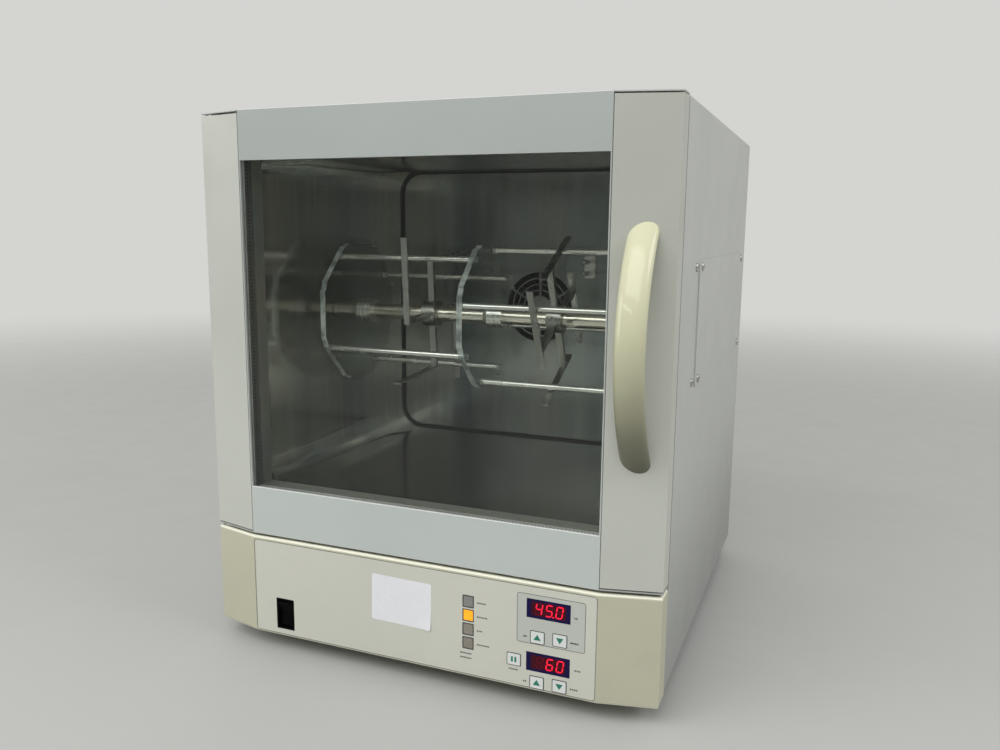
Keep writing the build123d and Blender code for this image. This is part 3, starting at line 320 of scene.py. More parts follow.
def shade(colour, factor):
    """A colour times a factor."""
    return tuple(channel * factor for channel in colour)


def grey(level):
    """The same level in all three channels."""
    return (level, level, level)


def painted(name, colour, roughness=0.35, peel=0.00004, peel_scale=520, mottle=0.05, dust=0.0,
            painted_highlight=None, highlight_level_faces=False, painted_height_shading=None):
    """Powder coat or moulded plastic: slow mottling, fine grain, dusty patches and a slight orange peel.

    The lighter colour for faces that slope up or down, and for level ones too where asked, is a painted
    highlight.
    The slow change of tone with height is painted light and shade: the low and the high level, and the tone
    at each.
    """
    finish = Finish(name)
    finish.principled(colour, roughness)
    slow = finish.spread(finish.noise(scale=7, detail=3, rough=0.6), 0.3, 0.7)
    tone = finish.blend(slow, shade(colour, 1 - mottle), shade(colour, 1 + mottle * 0.6))
    grain = finish.spread(finish.noise(scale=1400, detail=1), 0.35, 0.65)
    tone = finish.blend(finish.maths("MULTIPLY", grain, 0.10), tone, shade(colour, 0.86))
    if dust > 0:
        patches = finish.spread(finish.noise(scale=26, detail=5, rough=0.65), 0.52, 0.72, 0, dust)
        tone = finish.blend(patches, tone, shade(colour, 0.72))
    # painted light and shade: the tone changes slowly with height
    if painted_height_shading:
        low, high, low_tone, high_tone = painted_height_shading
        level = finish.spread(finish.place()["Z"], low, high)
        tone = finish.multiplied(tone, finish.blend(level, grey(low_tone), grey(high_tone)))
    # painted highlight: faces that slope up or down, and level ones where asked, get a lighter colour
    if painted_highlight:
        slope = finish.maths("ABSOLUTE", finish.facing()["Z"])
        share = finish.spread(slope, 0.25, 0.6)
        if not highlight_level_faces:
            share = finish.maths("MULTIPLY", share, finish.spread(slope, 0.9, 1.0, 1, 0))
        tone = finish.blend(share, tone, painted_highlight)
    finish.feed("Base Color", tone)
    wear = finish.noise(scale=18, detail=4, rough=0.6)
    finish.feed("Roughness", finish.spread(wear, 0.3, 0.75, roughness - 0.05, roughness + 0.09))
    finish.bump(finish.noise(peel_scale, detail=2, rough=0.45), peel)
    return finish


def brushed(name, colour, roughness, stretch, metallic=1.0, streak=0.16, smudge=0.12, grain=0.5):
    """Sheet steel with fine streaks along one way, smudges and small scratches."""
    finish = Finish(name)
    finish.principled(colour, roughness, metallic)
    lines = finish.noise(scale=55, detail=3, rough=0.7, stretch=stretch)
    slow = finish.noise(scale=9, detail=3, rough=0.55)
    streaks = finish.spread(lines, 0.3, 0.7)
    tone = finish.blend(streaks, shade(colour, 1 - streak), shade(colour, 1 + streak * 0.5))
    tone = finish.blend(finish.spread(slow, 0.45, 0.75, 0, 0.6), tone, shade(colour, 0.72))
    finish.feed("Base Color", tone)
    marks = finish.maths("MULTIPLY", finish.spread(lines, 0.25, 0.75), smudge)
    stains = finish.noise(scale=14, detail=5, rough=0.6)
    stains = finish.spread(stains, 0.35, 0.7, roughness - 0.05, roughness + 0.10)
    finish.feed("Roughness", finish.maths("ADD", stains, marks))
    finish.bump(lines, 0.00003, grain)
    return finish


def rolled(name, colour, warm, cool, roughness, metallic, stretch, wall_stretch=None,
           floor_shade=1.0, upper_shade=1.0):
    """Chamber sheet: rolled steel with long soft streaks of warmer and cooler grey.

    wall_stretch turns the streaks on walls that stand across X. The two tones are painted shade: they darken
    its floor and its upper part.
    """
    finish = Finish(name)
    finish.principled(colour, roughness, metallic)
    broad = finish.noise(scale=13, detail=1, rough=0.4, stretch=stretch)
    fine = finish.noise(scale=110, detail=2, rough=0.5, stretch=stretch)
    if wall_stretch:
        wall = finish.upright_across()
        wall_broad = finish.noise(scale=13, detail=1, rough=0.4, stretch=wall_stretch)
        wall_fine = finish.noise(scale=110, detail=2, rough=0.5, stretch=wall_stretch)
        broad = finish.blend_values(wall, broad, wall_broad)
        fine = finish.blend_values(wall, fine, wall_fine)
    tone = finish.blend(finish.spread(broad, 0.48, 0.75), colour, warm)
    tone = finish.blend(finish.spread(broad, 0.48, 0.25), tone, cool)
    tone = finish.blend(finish.spread(fine, 0.25, 0.75, 0, 0.22), tone, shade(colour, 1.4))
    # painted shade: faces that look up, and the upper part, are darkened
    lying = finish.spread(finish.facing()["Z"], 0.45, 0.95)
    tone = finish.blend(lying, tone, finish.multiplied(tone, grey(floor_shade)))
    upper = finish.spread(finish.place()["Z"], 0.24, 0.42)
    tone = finish.blend(upper, tone, finish.multiplied(tone, grey(upper_shade)))
    finish.feed("Base Color", tone)
    finish.feed("Roughness", finish.spread(fine, 0.25, 0.75, roughness - 0.04, roughness + 0.06))
    finish.bump(fine, 0.000006, 0.5)
    return finish


def clear_sheet(name, tint, gloss, roughness, straight=0.035, grazing=0.6):
    """Clear sheet: a film that tints what is behind it, and a reflection.

    The reflection's share is straight where the sheet is seen head on and grows by grazing to the edge.
    """
    finish = Finish(name)
    film = finish.node("ShaderNodeBsdfTransparent", Color=(*tint, 1))
    mirror = finish.node("ShaderNodeBsdfGlossy", Color=(*grey(gloss), 1), Roughness=roughness)
    slant = finish.maths("POWER", finish.node("ShaderNodeLayerWeight", Blend=0.5).outputs["Facing"], 5.0)
    share = finish.maths("MULTIPLY_ADD", slant, grazing, straight)
    finish.sheet = finish.mix_shaders(share, film.outputs[0], mirror.outputs[0])
    return finish


def frost_cut_edges(finish, dull, bright):
    """Make the cut edges of a clear plate that stands across X frosted and bright, with a faint painted
    glow.
    """
    # the faint emission is a painted glow: the edges are no lamp
    finish.principled(bright, 0.22, Emission_Color=(0.66, 0.70, 0.68, 1), Emission_Strength=0.045)
    polish = finish.spread(finish.noise(scale=70, detail=3, rough=0.6), 0.35, 0.65)
    finish.feed("Base Color", finish.blend(polish, dull, bright))
    sideways = finish.maths("ABSOLUTE", finish.facing()["X"])
    outside = finish.maths("SUBTRACT", 1.0, finish.node("ShaderNodeNewGeometry").outputs["Backfacing"])
    share = finish.maths("MULTIPLY", finish.spread(sideways, 0.3, 0.7, 0.85, 0), outside)
    finish.mix_shaders(share, finish.sheet, finish.shader.outputs[0])


def drill_spacer(finish, middle, reach, pitch, hole, side_colour):
    """Add a row of small dark holes round a spacer strip, and darken the two sides that stand upright."""
    place = finish.place()
    along = finish.maths("PINGPONG", finish.maths("ADD", place["X"], place["Z"]), pitch)
    across = finish.maths("ABSOLUTE", finish.maths("SUBTRACT", place["Y"], middle))
    holes = finish.maths("MULTIPLY", finish.maths("LESS_THAN", along, hole),
                         finish.maths("LESS_THAN", across, reach))
    strip = finish.shader.inputs["Base Color"].links[0].from_socket
    strip = finish.blend(finish.upright_across(), strip, side_colour)
    finish.feed("Base Color", finish.blend(holes, strip, grey(0.01)))


def shaded_handle(name, new, shaded_tone):
    """Glossy plastic, darkened towards its lower end by painted shade."""
    finish = Finish(name)
    finish.principled(new, 0.36, Specular_IOR_Level=0.15, Coat_Weight=0.55, Coat_Roughness=0.025)
    # painted shade: the colour darkens towards the handle's lower end
    uneven = finish.maths("MULTIPLY", finish.noise(scale=24, detail=1), 0.016)
    painted_shade = finish.spread(finish.maths("ADD", finish.place()["Z"], uneven), 0.190, 0.370, 1, 0)
    slow = finish.spread(finish.noise(scale=11, detail=3), 0.3, 0.7)
    tone = finish.blend(slow, shade(new, 0.95), new)
    finish.feed("Base Color", finish.blend(painted_shade, tone, shaded_tone))
    finish.feed("Roughness", finish.spread(finish.noise(scale=60, detail=2), 0.2, 0.8, 0.34, 0.44))
    finish.bump(finish.noise(scale=420, detail=2), 0.000015)


def glow(name, colour, strength, base=(0.08, 0.0, 0.0)):
    """A surface that shines a little unevenly, as a diffused light does; on parts that are no lamp this is
    painted light.
    """
    finish = Finish(name)
    finish.principled(base, 0.3, Specular_IOR_Level=0.2, Emission_Strength=strength)
    uneven = finish.spread(finish.noise(scale=350, detail=2), 0.3, 0.7)
    finish.feed("Emission Color", finish.blend(uneven, shade(colour, 0.82), colour))


# ---------------------------------------------------------------- finishes
# Painted sheet and moulded plastic outside
# The height tones below are painted light and shade, and the lighter colours for sloping faces are painted
# highlights
painted("cabinet_paint", (0.455, 0.468, 0.450), 0.50, peel=0.000012, peel_scale=620, mottle=0.02,
        painted_height_shading=(0.02, 0.22, 0.70, 1.05))
painted("door_paint", (0.415, 0.448, 0.430), 0.36, mottle=0.03, painted_height_shading=(0.13, 0.45, 1.22, 0.93),
        painted_highlight=(0.80, 0.82, 0.80), highlight_level_faces=True)
painted("column_plastic", (0.475, 0.490, 0.440), 0.42, peel=0.00005, peel_scale=650, mottle=0.03,
        painted_height_shading=(0.15, 0.45, 1.09, 0.93), painted_highlight=(0.80, 0.81, 0.76), highlight_level_faces=True)
painted("bezel_plastic", (0.500, 0.495, 0.375), 0.40, peel=0.00005, peel_scale=650, mottle=0.04, dust=0.12,
        painted_highlight=(0.86, 0.86, 0.72))
painted("overlay_film", (0.600, 0.605, 0.530), 0.38, peel=0.00002, peel_scale=900, mottle=0.03, dust=0.05)
# the handle's darker lower end is painted shade
shaded_handle("handle_plastic", new=(0.66, 0.655, 0.455), shaded_tone=(0.085, 0.088, 0.060))

# Bare metal
brushed("plated_steel", (0.58, 0.58, 0.57), 0.34, stretch=(0.1, 1.0, 1.0))
brushed("polished_steel", (1.0, 0.99, 0.95), 0.16, stretch=(0.05, 1.0, 1.0), metallic=0.85,
        streak=0.10, smudge=0.04, grain=0.05)
brushed("ground_shaft", (1.0, 0.95, 0.84), 0.13, stretch=(0.05, 1.0, 1.0), metallic=0.90,
        streak=0.06, smudge=0.03, grain=0.05)
brushed("spring_steel", (0.50, 0.50, 0.47), 0.24, stretch=(1.0, 1.0, 0.1), streak=0.22)
brushed("sooty_steel", (0.030, 0.031, 0.032), 0.50, stretch=(1.0, 1.0, 0.2))
brushed("screw_steel", (0.48, 0.48, 0.47), 0.22, stretch=(1.0, 1.0, 1.0))
brushed("motor_housing", (0.42, 0.42, 0.43), 0.40, stretch=(0.2, 1.0, 1.0))
brushed("bearing_bronze", (0.55, 0.36, 0.16), 0.38, stretch=(1.0, 1.0, 1.0))
brushed("magnet", (0.10, 0.095, 0.095), 0.45, stretch=(1.0, 1.0, 0.2))
# The chamber floor and the back wall's upper part are darkened with painted shade
rolled("chamber_steel", (0.68, 0.67, 0.62), warm=(0.80, 0.74, 0.63), cool=(0.46, 0.49, 0.51),
       roughness=0.15, metallic=0.90, stretch=(1.0, 0.04, 0.04), wall_stretch=(0.04, 1.0, 0.04),
       floor_shade=0.42)
rolled("back_wall_steel", (0.44, 0.47, 0.46), warm=(0.52, 0.50, 0.44), cool=(0.14, 0.18, 0.22),
       roughness=0.19, metallic=0.84, stretch=(1.0, 1.0, 0.03), upper_shade=0.62)
rolled("tunnel_steel", (0.40, 0.40, 0.36), warm=(0.46, 0.42, 0.35), cool=(0.32, 0.34, 0.34),
       roughness=0.40, metallic=0.30, stretch=(0.04, 1.0, 1.0))

# Dark plastic, rubber and the parts inside
painted("black_rubber", (0.018, 0.018, 0.018), 0.70, peel=0.00008, peel_scale=900, mottle=0.15)
painted("dark_plastic", (0.022, 0.023, 0.023), 0.48, peel=0.00005, peel_scale=700, mottle=0.12)
gloss_black = painted("black_gloss", (0.003, 0.003, 0.003), 0.42, peel=0.00001, peel_scale=400, mottle=0.1)
gloss_black.shader.inputs["Specular IOR Level"].default_value = 0.03
painted("circuit_board", (0.02, 0.10, 0.04), 0.35, peel=0.00003, mottle=0.15)
painted("insulation", (0.55, 0.50, 0.38), 0.95, peel=0.0006, peel_scale=160, mottle=0.2)

# Keys, lamps and print
painted("button_cap", (0.72, 0.745, 0.725), 0.35, peel=0.00002, mottle=0.02)
painted("lamp_lens", (0.27, 0.265, 0.24), 0.30, peel=0.00002, mottle=0.04)
painted("lamp_grey", (0.225, 0.230, 0.215), 0.30, peel=0.00002)
painted("lamp_taupe", (0.255, 0.235, 0.200), 0.30, peel=0.00002)
painted("lamp_brown", (0.245, 0.215, 0.180), 0.30, peel=0.00002)
painted("printed_dark", (0.030, 0.032, 0.036), 0.45, peel=0.00001, mottle=0.05)
painted("printed_grey", (0.085, 0.088, 0.090), 0.45, peel=0.00001, mottle=0.05)
painted("printed_green", (0.010, 0.190, 0.130), 0.38, peel=0.00001, mottle=0.05)
painted("display_field", (0.500, 0.525, 0.480), 0.36, peel=0.00002, mottle=0.02)
painted("label_paper", (0.80, 0.81, 0.84), 0.26, peel=0.00003, peel_scale=260, mottle=0.02)

# Glass, the clear plates with their bright cut edges, and the spacer between the panes
clear_sheet("window_glass", (0.945, 0.955, 0.945), gloss=0.32, roughness=0.01)
clear_sheet("smoked_plastic", (0.85, 0.85, 0.83), gloss=0.8, roughness=0.05)
frost_cut_edges(clear_sheet("clear_plastic", (0.975, 0.985, 0.98), gloss=0.9, roughness=0.02),
                dull=(0.24, 0.27, 0.26), bright=(0.80, 0.85, 0.83))
drill_spacer(brushed("spacer_strip", (0.82, 0.83, 0.80), 0.30, stretch=(0.1, 1.0, 1.0), metallic=0.4),
             middle=FRONT + 9.3 * MM, reach=0.9 * MM, pitch=1.6 * MM, hole=0.5 * MM,
             side_colour=(0.20, 0.20, 0.19))

# Displays: a deep violet lens, a dark red window in it, lit and unlit digits, and the lit lamp
# The lens, the red window and the unlit digits glow faintly: painted light on parts that are no lamp
lens_finish = Finish("display_lens")
lens_finish.principled((0.005, 0.003, 0.035), 0.30, Specular_IOR_Level=0.15,
                       Emission_Color=(0.03, 0.01, 0.16, 1), Emission_Strength=0.10)
lens_finish.bump(lens_finish.noise(scale=300, detail=2), 0.00001)
glow("lit_digit", (1.0, 0.012, 0.05), 1.5)
# painted glow: the red window and the unlit digits are no lamps
glow("red_filter", (0.30, 0.0, 0.03), 0.12, (0.012, 0.0, 0.003))
glow("unlit_digit", (0.35, 0.0, 0.02), 0.22, (0.03, 0.0, 0.005))
glow("lit_lamp", (1.0, 0.39, 0.022), 0.9, (0.5, 0.22, 0.01))

# Each node wears the finish named by its slot, but for these
OWN_FINISH = {
    "chamber_back": "back_wall_steel",
    "glass_spacer": "spacer_strip",
    "window_tunnel": "tunnel_steel",
    "end_disc": "smoked_plastic",
    "rotor_shaft": "ground_shaft",
    "spring_clips": "spring_steel",
    "fan_plenum": "sooty_steel",
    "fan_impeller": "sooty_steel",
    "heater_ring": "sooty_steel",
}
for entry in frame["record"]["subparts"]:
    node = frame["nodes"][entry["node"]]
    finish_name = OWN_FINISH.get(entry["node"], entry["material_slot"])
    node.data.materials.clear()
    node.data.materials.append(finishes[finish_name].material)

# ---------------------------------------------------------------- control panel
# Places on the panel are in millimetres: across from the middle, and up from the bench
panel_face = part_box("control_overlay")[0].y
lens_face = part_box("display_modules")[0].y


def on_panel(x, z, face=panel_face, layers=1):
    """A place on the control panel, a number of print layers before its face."""
    return (x * MM, face - layers * PRINT, z * MM)


def outline_at(place, width, height, line, layers, corner, segments=4):
    """A thin outline about a place, as thick as its layers: print, but round the lamps it is painted shade.
    """
    ring = frame_ring(width, height, line, layers * PRINT, corner, segments)
    shift(ring, place)
    return ring


# Thin dark outline round the panel film
panel_outline = outline_at(on_panel(0, 61.65), 323.2 * MM, 87.1 * MM, line=0.35 * MM, layers=1,
                           corner=2.8 * MM, segments=5)
place_piece(panel_outline, "panel_outline", "case", "printed_grey")

# Tinted field round the upper display and its keys, open where the display shows, and its outline
FIELD_MIDDLE = (123.9, 77.55)
field = slab(56.6 * MM, 41.4 * MM, PRINT, corner=1.6 * MM)
cut_block(field, size=(37.0 * MM, 4 * MM, 16.4 * MM), place=(-2.1 * MM, 0, 9.15 * MM))
place_piece(field, "display_field", "case", "display_field", on_panel(*FIELD_MIDDLE))
field_outline = outline_at(on_panel(*FIELD_MIDDLE, layers=2), 57.4 * MM, 42.2 * MM, line=0.4 * MM, layers=2,
                           corner=2.0 * MM)
place_piece(field_outline, "display_field_outline", "case", "printed_grey")

# Key outlines, each a little larger than its key's opening
RAISED_LAYERS = 3  # outlines of keys and lamps, and digits, stand this many layers proud
KEYS = ("temp_up", "temp_down", "speed_up", "speed_down", "pause")
rings = []
for key in KEYS:
    low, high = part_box(key + "_button")
    middle = (low + high) / 2
    spot = (middle.x, panel_face - RAISED_LAYERS * PRINT, middle.z)
    rings.append(outline_at(spot, 12.4 * MM, 11.0 * MM, line=0.55 * MM, layers=RAISED_LAYERS,
                            corner=0.9 * MM, segments=3))
place_piece(joined(rings), "key_outlines", "case", "printed_dark")

# Arrow and pause marks on the keys
ARROW_RADIUS = 3.6 * MM
ARROW_SCALE = (1, 1, 0.92)
ARROW_SHIFT = 0.6 * MM  # makes the arrow, whose point reaches further than its foot, look centred
PAUSE_SPREAD = 1.5 * MM
deselect()
bpy.ops.mesh.primitive_circle_add(vertices=3, radius=ARROW_RADIUS, fill_type="NGON", rotation=UPRIGHT)
arrow = bpy.context.object
apply_place(arrow)
edit_all()
bpy.ops.mesh.bevel(offset=0.25 * MM, segments=2, affect="VERTICES")
bpy.ops.object.mode_set(mode="OBJECT")
thicken(PRINT)
for key in KEYS:
    low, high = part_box(key + "_button")
    middle = (low + high) / 2
    spot = (middle.x, low.y - PRINT, middle.z)
    if key == "pause":
        bar = slab(1.7 * MM, 4.6 * MM, PRINT, corner=0.2 * MM, segments=2)
        mark = joined([copy_of(bar, (-PAUSE_SPREAD, 0, 0)), copy_of(bar, (PAUSE_SPREAD, 0, 0))])
        discard(bar)
    elif key.endswith("up"):
        mark = copy_of(arrow, (0, 0, -ARROW_SHIFT), 0, ARROW_SCALE)
    else:
        mark = copy_of(arrow, (0, 0, ARROW_SHIFT), math.pi, ARROW_SCALE)
    place_piece(mark, key + "_mark", key + "_key", "printed_green", spot)
discard(arrow)

# Lamps: a dark ring round each lens, painted shade of the recess it sits in, and a slightly raised lens
LAMP_FINISHES = ("lamp_grey", "lit_lamp", "lamp_taupe", "lamp_brown")
LAMP_HEIGHT = 9.7 * MM
LENS_GAP = 0.9 * MM
LENS_DEPTH = 0.25 * MM
SHADE_RING_MARGIN = 1.0 * MM
lamp_low, lamp_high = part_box("status_lamps")
lamp_width = lamp_high.x - lamp_low.x
lamp_x = (lamp_low.x + lamp_high.x) / 2
lamp_pitch = (lamp_high.z - lamp_low.z - LAMP_HEIGHT) / (len(LAMP_FINISHES) - 1)
lamp_levels = [lamp_high.z - LAMP_HEIGHT / 2 - i * lamp_pitch for i in range(len(LAMP_FINISHES))]
lens = slab(lamp_width - LENS_GAP, LAMP_HEIGHT - LENS_GAP, LENS_DEPTH, corner=0.4 * MM, segments=3)
for number, (level, finish_name) in enumerate(zip(lamp_levels, LAMP_FINISHES), start=1):
    piece = copy_of(lens, (lamp_x, lens_face - LENS_DEPTH, level))
    place_piece(piece, f"lamp_lens_{number}", "case", finish_name)
discard(lens)
# painted shade: the dark rings stand for the shadow in each lamp's recess
lamp_recess_shade = [
    outline_at((lamp_x, panel_face - RAISED_LAYERS * PRINT, level), lamp_width + SHADE_RING_MARGIN,
               LAMP_HEIGHT + SHADE_RING_MARGIN, line=0.6 * MM, layers=RAISED_LAYERS, corner=0.5 * MM, segments=2)
    for level in lamp_levels
]
place_piece(joined(lamp_recess_shade), "lamp_recess_shade", "case", "printed_dark")

# Captions: rows of short plain dashes, as where each row starts and how wide its dashes are
DASH_GAP = 0.45
DASH_HEIGHT = 1.25
CAPTIONS = {
    (60.0, 82.6): (1.2, 0.8, 1.3, 0.7, 1.1, 0.6),
    (60.0, 70.4): (1.2, 0.9, 0.8, 1.1, 0.7, 1.0, 0.8),
    (60.0, 58.2): (1.1, 0.8, 0.9, 0.7),
    (60.0, 46.0): (1.3, 0.9, 1.1, 0.6, 1.2, 0.9, 1.1, 0.8),
    (45.0, 36.6): (1.5, 1.2, 1.4, 1.1, 1.5, 1.2),
    (45.0, 32.6): (1.5, 1.1, 1.4, 1.2, 1.5, 1.1),
    (143.4, 84.6): (0.8, 1.2),
    (144.4, 40.6): (1.4, 1.2, 1.5),
    (101.0, 62.0): (1.2, 1.1),
    (140.6, 63.4): (1.3, 1.2, 1.4, 1.2),
    (101.2, 23.0): (1.2, 1.1),
    (141.0, 24.0): (1.3, 1.2, 1.4, 1.2),
    (88.6, 31.2): (1.2, 1.1, 1.3, 1.1, 1.2),
}
dash = slab(1.0 * MM, 1.0 * MM, PRINT)
dashes = []
for (x, z), widths in CAPTIONS.items():
    for width in widths:
        dashes.append(copy_of(dash, on_panel(x + width / 2, z), 0, (width, 1, DASH_HEIGHT)))
        x += width + DASH_GAP
discard(dash)
place_piece(joined(dashes), "panel_captions", "case", "printed_grey")

# Displays: a red filter window over the lens, lit and unlit segments on it (sizes in millimetres)
SEGMENTS = {"0": "abcdef", "4": "fgbc", "5": "afgcd", "6": "afgedc", " ": ""}
DIGIT_HEIGHT = 9.4
DIGIT_WIDTH = 5.0
DIGIT_PITCH = 8.6
LEAN = math.radians(9)
STROKE = 1.05
SEGMENT_GAP = 0.5
POINT_BACK, POINT_DROP = 0.8, 0.1  # the decimal point's way back and down from between two digits' feet
POINT_WIDTH = 0.30  # as a share of a flat segment's
WINDOW_WIDTH, WINDOW_HEIGHT = 29.0, 11.6


def segment_places(x, z):
    """Where each segment of a leaning digit lies: its middle, and whether it stands upright."""
    half_w, half_h = DIGIT_WIDTH / 2, DIGIT_HEIGHT / 2

    def lean(dx, dz):
        return (x + dx + dz * math.tan(LEAN), z + dz)

    return {
        "a": (lean(0, half_h), False), "g": (lean(0, 0), False), "d": (lean(0, -half_h), False),
        "f": (lean(-half_w, half_h / 2), True), "b": (lean(half_w, half_h / 2), True),
        "e": (lean(-half_w, -half_h / 2), True), "c": (lean(half_w, -half_h / 2), True),
    }


def display(name, digits, middle, offset, point=None):
    """One display: its filter window and its digits, lit segments bright and the rest faint.

    offset moves the digits sideways; point is the number of the digit that a decimal point follows.
    """
    x0, z0 = middle
    window = slab(WINDOW_WIDTH * MM, WINDOW_HEIGHT * MM, PRINT, corner=1.2 * MM)
    place_piece(window, name + "_window", "case", "red_filter", on_panel(x0, z0, lens_face))

    def bar(length):
        return slab((length - SEGMENT_GAP) * MM, STROKE * MM, PRINT, corner=STROKE * 0.48 * MM, segments=1)

    def across(index):
        return x0 + (index - (len(digits) - 1) / 2) * DIGIT_PITCH + offset

    flat, upright = bar(DIGIT_WIDTH), bar(DIGIT_HEIGHT / 2)
    lit, unlit = [], []
    for index, digit in enumerate(digits):
        for letter, ((sx, sz), stands) in segment_places(across(index), z0).items():
            spot = on_panel(sx, sz, lens_face, RAISED_LAYERS)
            piece = copy_of(upright, spot, LEAN - math.pi / 2) if stands else copy_of(flat, spot)
            (lit if letter in SEGMENTS[digit] else unlit).append(piece)
    if point is not None:
        x, z = across(point + 0.5) - POINT_BACK, z0 - DIGIT_HEIGHT / 2 - POINT_DROP
        lit.append(copy_of(flat, on_panel(x, z, lens_face, RAISED_LAYERS), 0, (POINT_WIDTH, 1, 1)))
    discard(flat)
    discard(upright)
    place_piece(joined(lit), name + "_lit", "case", "lit_digit")
    place_piece(joined(unlit), name + "_unlit", "case", "unlit_digit")


display("upper_display", "450", (121.8, 86.7), 0.6, point=1)
display("lower_display", " 60", (122.05, 41.05), 1.6)

# Blank label, a little wavy, with one lifted corner
LABEL_WIDTH, LABEL_HEIGHT = 57 * MM, 41.5 * MM
LABEL_CORNER = 1.6 * MM
LABEL_DEPTH = 0.08 * MM
LABEL_STANDOFF = 0.12 * MM
LABEL_TURN = math.radians(1.0)
CORNER_LIFT = 1.5 * MM
LIFT_FROM = 1.25  # where x - z, both from -1 to 1 over the label, starts the lifted corner
RIPPLE = 0.06 * MM
deselect()
bpy.ops.mesh.primitive_grid_add(x_subdivisions=14, y_subdivisions=12, size=1, rotation=UPRIGHT)
label = bpy.context.object
label.scale = (LABEL_WIDTH, LABEL_HEIGHT, 1)
apply_place(label)
clear_mesh_selection()
for vertex in label.data.vertices:
    at_side = abs(vertex.co.x) > LABEL_WIDTH / 2 - 0.1 * MM
    vertex.select = at_side and abs(vertex.co.z) > LABEL_HEIGHT / 2 - 0.1 * MM
bpy.ops.object.mode_set(mode="EDIT")
bpy.ops.mesh.bevel(offset=LABEL_CORNER, segments=4, affect="VERTICES")
bpy.ops.object.mode_set(mode="OBJECT")
for vertex in label.data.vertices:
    x, z = vertex.co.x / (LABEL_WIDTH / 2), vertex.co.z / (LABEL_HEIGHT / 2)
    lift = max(0.0, x - z - LIFT_FROM) ** 2 * CORNER_LIFT
    vertex.co.y = -LABEL_STANDOFF - lift - RIPPLE * math.sin(5 * x + 2 * z)
thicken(LABEL_DEPTH)
label.data.transform(Matrix.Rotation(LABEL_TURN, 4, "Y"))
place_piece(label, "blank_label", "case", "label_paper", on_panel(-10.7, 71.15), smooth=60)

# ---------------------------------------------------------------- screws with cross recesses
HEAD_RADIUS = 3.7 * MM
HEAD_HEIGHT = 1.4 * MM
HEAD_ROUNDING = 0.9 * MM
RECESS_SIZE = (3.4 * MM, 0.7 * MM, 1.2 * MM)
RECESS_LEVEL = 1.3 * MM
RECESS_TURN = 0.4
deselect()
bpy.ops.mesh.primitive_cylinder_add(vertices=32, radius=HEAD_RADIUS, depth=HEAD_HEIGHT,
                                    location=(0, 0, HEAD_HEIGHT / 2))
head = bpy.context.object
apply_place(head)
clear_mesh_selection()
for rim in head.data.edges:
    rim.select = all(head.data.vertices[i].co.z > HEAD_HEIGHT - 0.1 * MM for i in rim.vertices)
bpy.ops.object.mode_set(mode="EDIT")
bpy.ops.mesh.select_mode(type="EDGE")
bpy.ops.mesh.bevel(offset=HEAD_ROUNDING, segments=4, affect="EDGES")
bpy.ops.mesh.select_mode(type="VERT")
bpy.ops.object.mode_set(mode="OBJECT")
for turn in (0, math.pi / 2):
    cut_block(head, RECESS_SIZE, (0, 0, RECESS_LEVEL), turn + RECESS_TURN)


def screw_at(place, direction):
    """A screw head on a face, facing that way."""
    twin = copy_of(head)
    turn = Vector(direction).to_track_quat("Z", "Y").to_matrix().to_4x4()
    twin.data.transform(Matrix.Translation(place) @ turn)
    return twin


# Side hatch: rows along its top and bottom, the front screw of each row in the wrap before it
HATCH_ROW_INSET = 5.5 * MM
HATCH_END_INSET = 12 * MM
hatch_low, hatch_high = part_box("side_hatch")
wrap_low, wrap_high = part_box("case_wrap")
heads = []
for z in (hatch_low.z + HATCH_ROW_INSET, hatch_high.z - HATCH_ROW_INSET):
    heads.append(screw_at((wrap_high.x, hatch_low.y - HATCH_END_INSET, z), (1, 0, 0)))
    for y in (hatch_low.y + HATCH_END_INSET, hatch_high.y - HATCH_END_INSET):
        heads.append(screw_at((hatch_high.x, y, z), (1, 0, 0)))

# Rear panel: three screws down each side
REAR_SIDE_INSET = 8 * MM
REAR_END_INSET = 22 * MM
back_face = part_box("rear_panel")[1].y
rear_levels = (wrap_low.z + REAR_END_INSET, (wrap_low.z + wrap_high.z) / 2, wrap_high.z - REAR_END_INSET)
for x in (wrap_low.x + REAR_SIDE_INSET, wrap_high.x - REAR_SIDE_INSET):
    for z in rear_levels:
        heads.append(screw_at((x, back_face, z), (0, 1, 0)))
discard(head)
screws = place_piece(joined(heads), "cross_screws", "case", "screw_steel")
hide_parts("case_screws")

# ---------------------------------------------------------------- stage, lights and camera
# The floor thins out far from the oven, so that it meets the room with no line
FLOOR_SIZE = 9
THINNING_FROM, THINNING_TO = 0.9, 3.6
floor_finish = painted("pale_floor", (0.47, 0.472, 0.46), 0.60, peel=0.0001, peel_scale=120, mottle=0.01)
away = floor_finish.node("ShaderNodeVectorMath", operation="LENGTH")
floor_finish.link(floor_finish.node("ShaderNodeTexCoord").outputs["Object"], away.inputs[0])
thinning = floor_finish.spread(away.outputs["Value"], THINNING_FROM, THINNING_TO)
nothing = floor_finish.node("ShaderNodeBsdfTransparent")
floor_finish.mix_shaders(thinning, floor_finish.shader.outputs[0], nothing.outputs[0])
deselect()
bpy.ops.mesh.primitive_plane_add(size=FLOOR_SIZE)
floor = bpy.context.object
floor.name = "floor"
floor.data.materials.append(floor_finish.material)


def softbox(name, place, target, size, power):
    """A soft area light facing a target: size in metres, power in watts."""
    data = bpy.data.lights.new(name, "AREA")
    data.shape = "RECTANGLE"
    data.size, data.size_y = size
    data.energy = power
    light = bpy.data.objects.new(name, data)
    light.location = place
    light.rotation_euler = (Vector(target) - Vector(place)).to_track_quat("-Z", "Y").to_euler()
    scene.collection.objects.link(light)


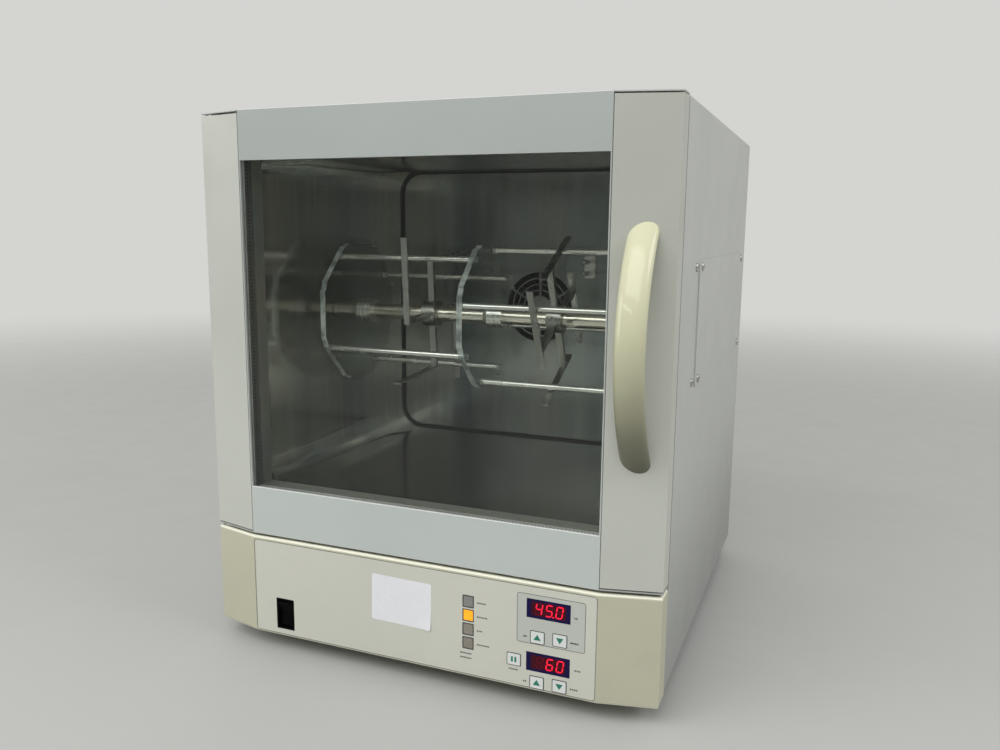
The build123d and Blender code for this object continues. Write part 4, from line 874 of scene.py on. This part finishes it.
softbox("ceiling_light", place=(-0.25, -1.75, 2.1), target=(0.1, -0.2, 0.3), size=(3.0, 1.5), power=44)
softbox("left_light", place=(-2.6, -1.25, 0.85), target=(0, -0.2, 0.2), size=(1.1, 1.0), power=13)
softbox("strip_light", place=(-0.85, -1.9, 1.1), target=(0, -0.05, 0.3), size=(1.8, 0.10), power=2.6)
softbox("right_light", place=(2.3, -0.2, 1.9), target=(0.1, 0, 0.45), size=(1.4, 1.0), power=20)

# The room: bright behind the oven, dimmer before it
ROOM_RANGE = {"From Min": -0.9, "From Max": 0.55, "To Min": 0.32, "To Max": 0.66}
ROOM_COLOUR = (1.0, 0.995, 0.965, 1)
world = bpy.data.worlds.new("room")
world.use_nodes = True
nodes, links = world.node_tree.nodes, world.node_tree.links
direction = nodes.new("ShaderNodeSeparateXYZ")
links.new(nodes.new("ShaderNodeTexCoord").outputs["Generated"], direction.inputs[0])
brightness = nodes.new("ShaderNodeMapRange")
brightness.interpolation_type = "SMOOTHSTEP"
links.new(direction.outputs["Y"], brightness.inputs["Value"])
for socket, value in ROOM_RANGE.items():
    brightness.inputs[socket].default_value = value
background = nodes["Background"]
background.inputs["Color"].default_value = ROOM_COLOUR
links.new(brightness.outputs[0], background.inputs["Strength"])
scene.world = world
scene.view_settings.view_transform = "Standard"
scene.cycles.transparent_max_bounces = 40  # the window and the plates lie many sheets deep

# The camera, as worked out from the photograph's straight edges
FOCAL_PIXELS, PHOTO_WIDTH = 858.33, 1000
SENSOR = 36
YAW, PITCH, ROLL = (math.radians(angle) for angle in (21.893, -9.574, 0.578))
CAMERA_PLACE = (0.3234, FRONT - 0.6098, 0.3848)
camera_data = bpy.data.cameras.new("camera")
camera_data.sensor_width = SENSOR
camera_data.lens = FOCAL_PIXELS / PHOTO_WIDTH * SENSOR
camera_data.clip_end = 100
camera = bpy.data.objects.new("camera", camera_data)
aimed = Matrix.Rotation(YAW, 4, "Z") @ Matrix.Rotation(math.pi / 2 + PITCH, 4, "X")
camera.matrix_world = Matrix.Translation(CAMERA_PLACE) @ aimed @ Matrix.Rotation(ROLL, 4, "Z")
scene.collection.objects.link(camera)
scene.camera = camera
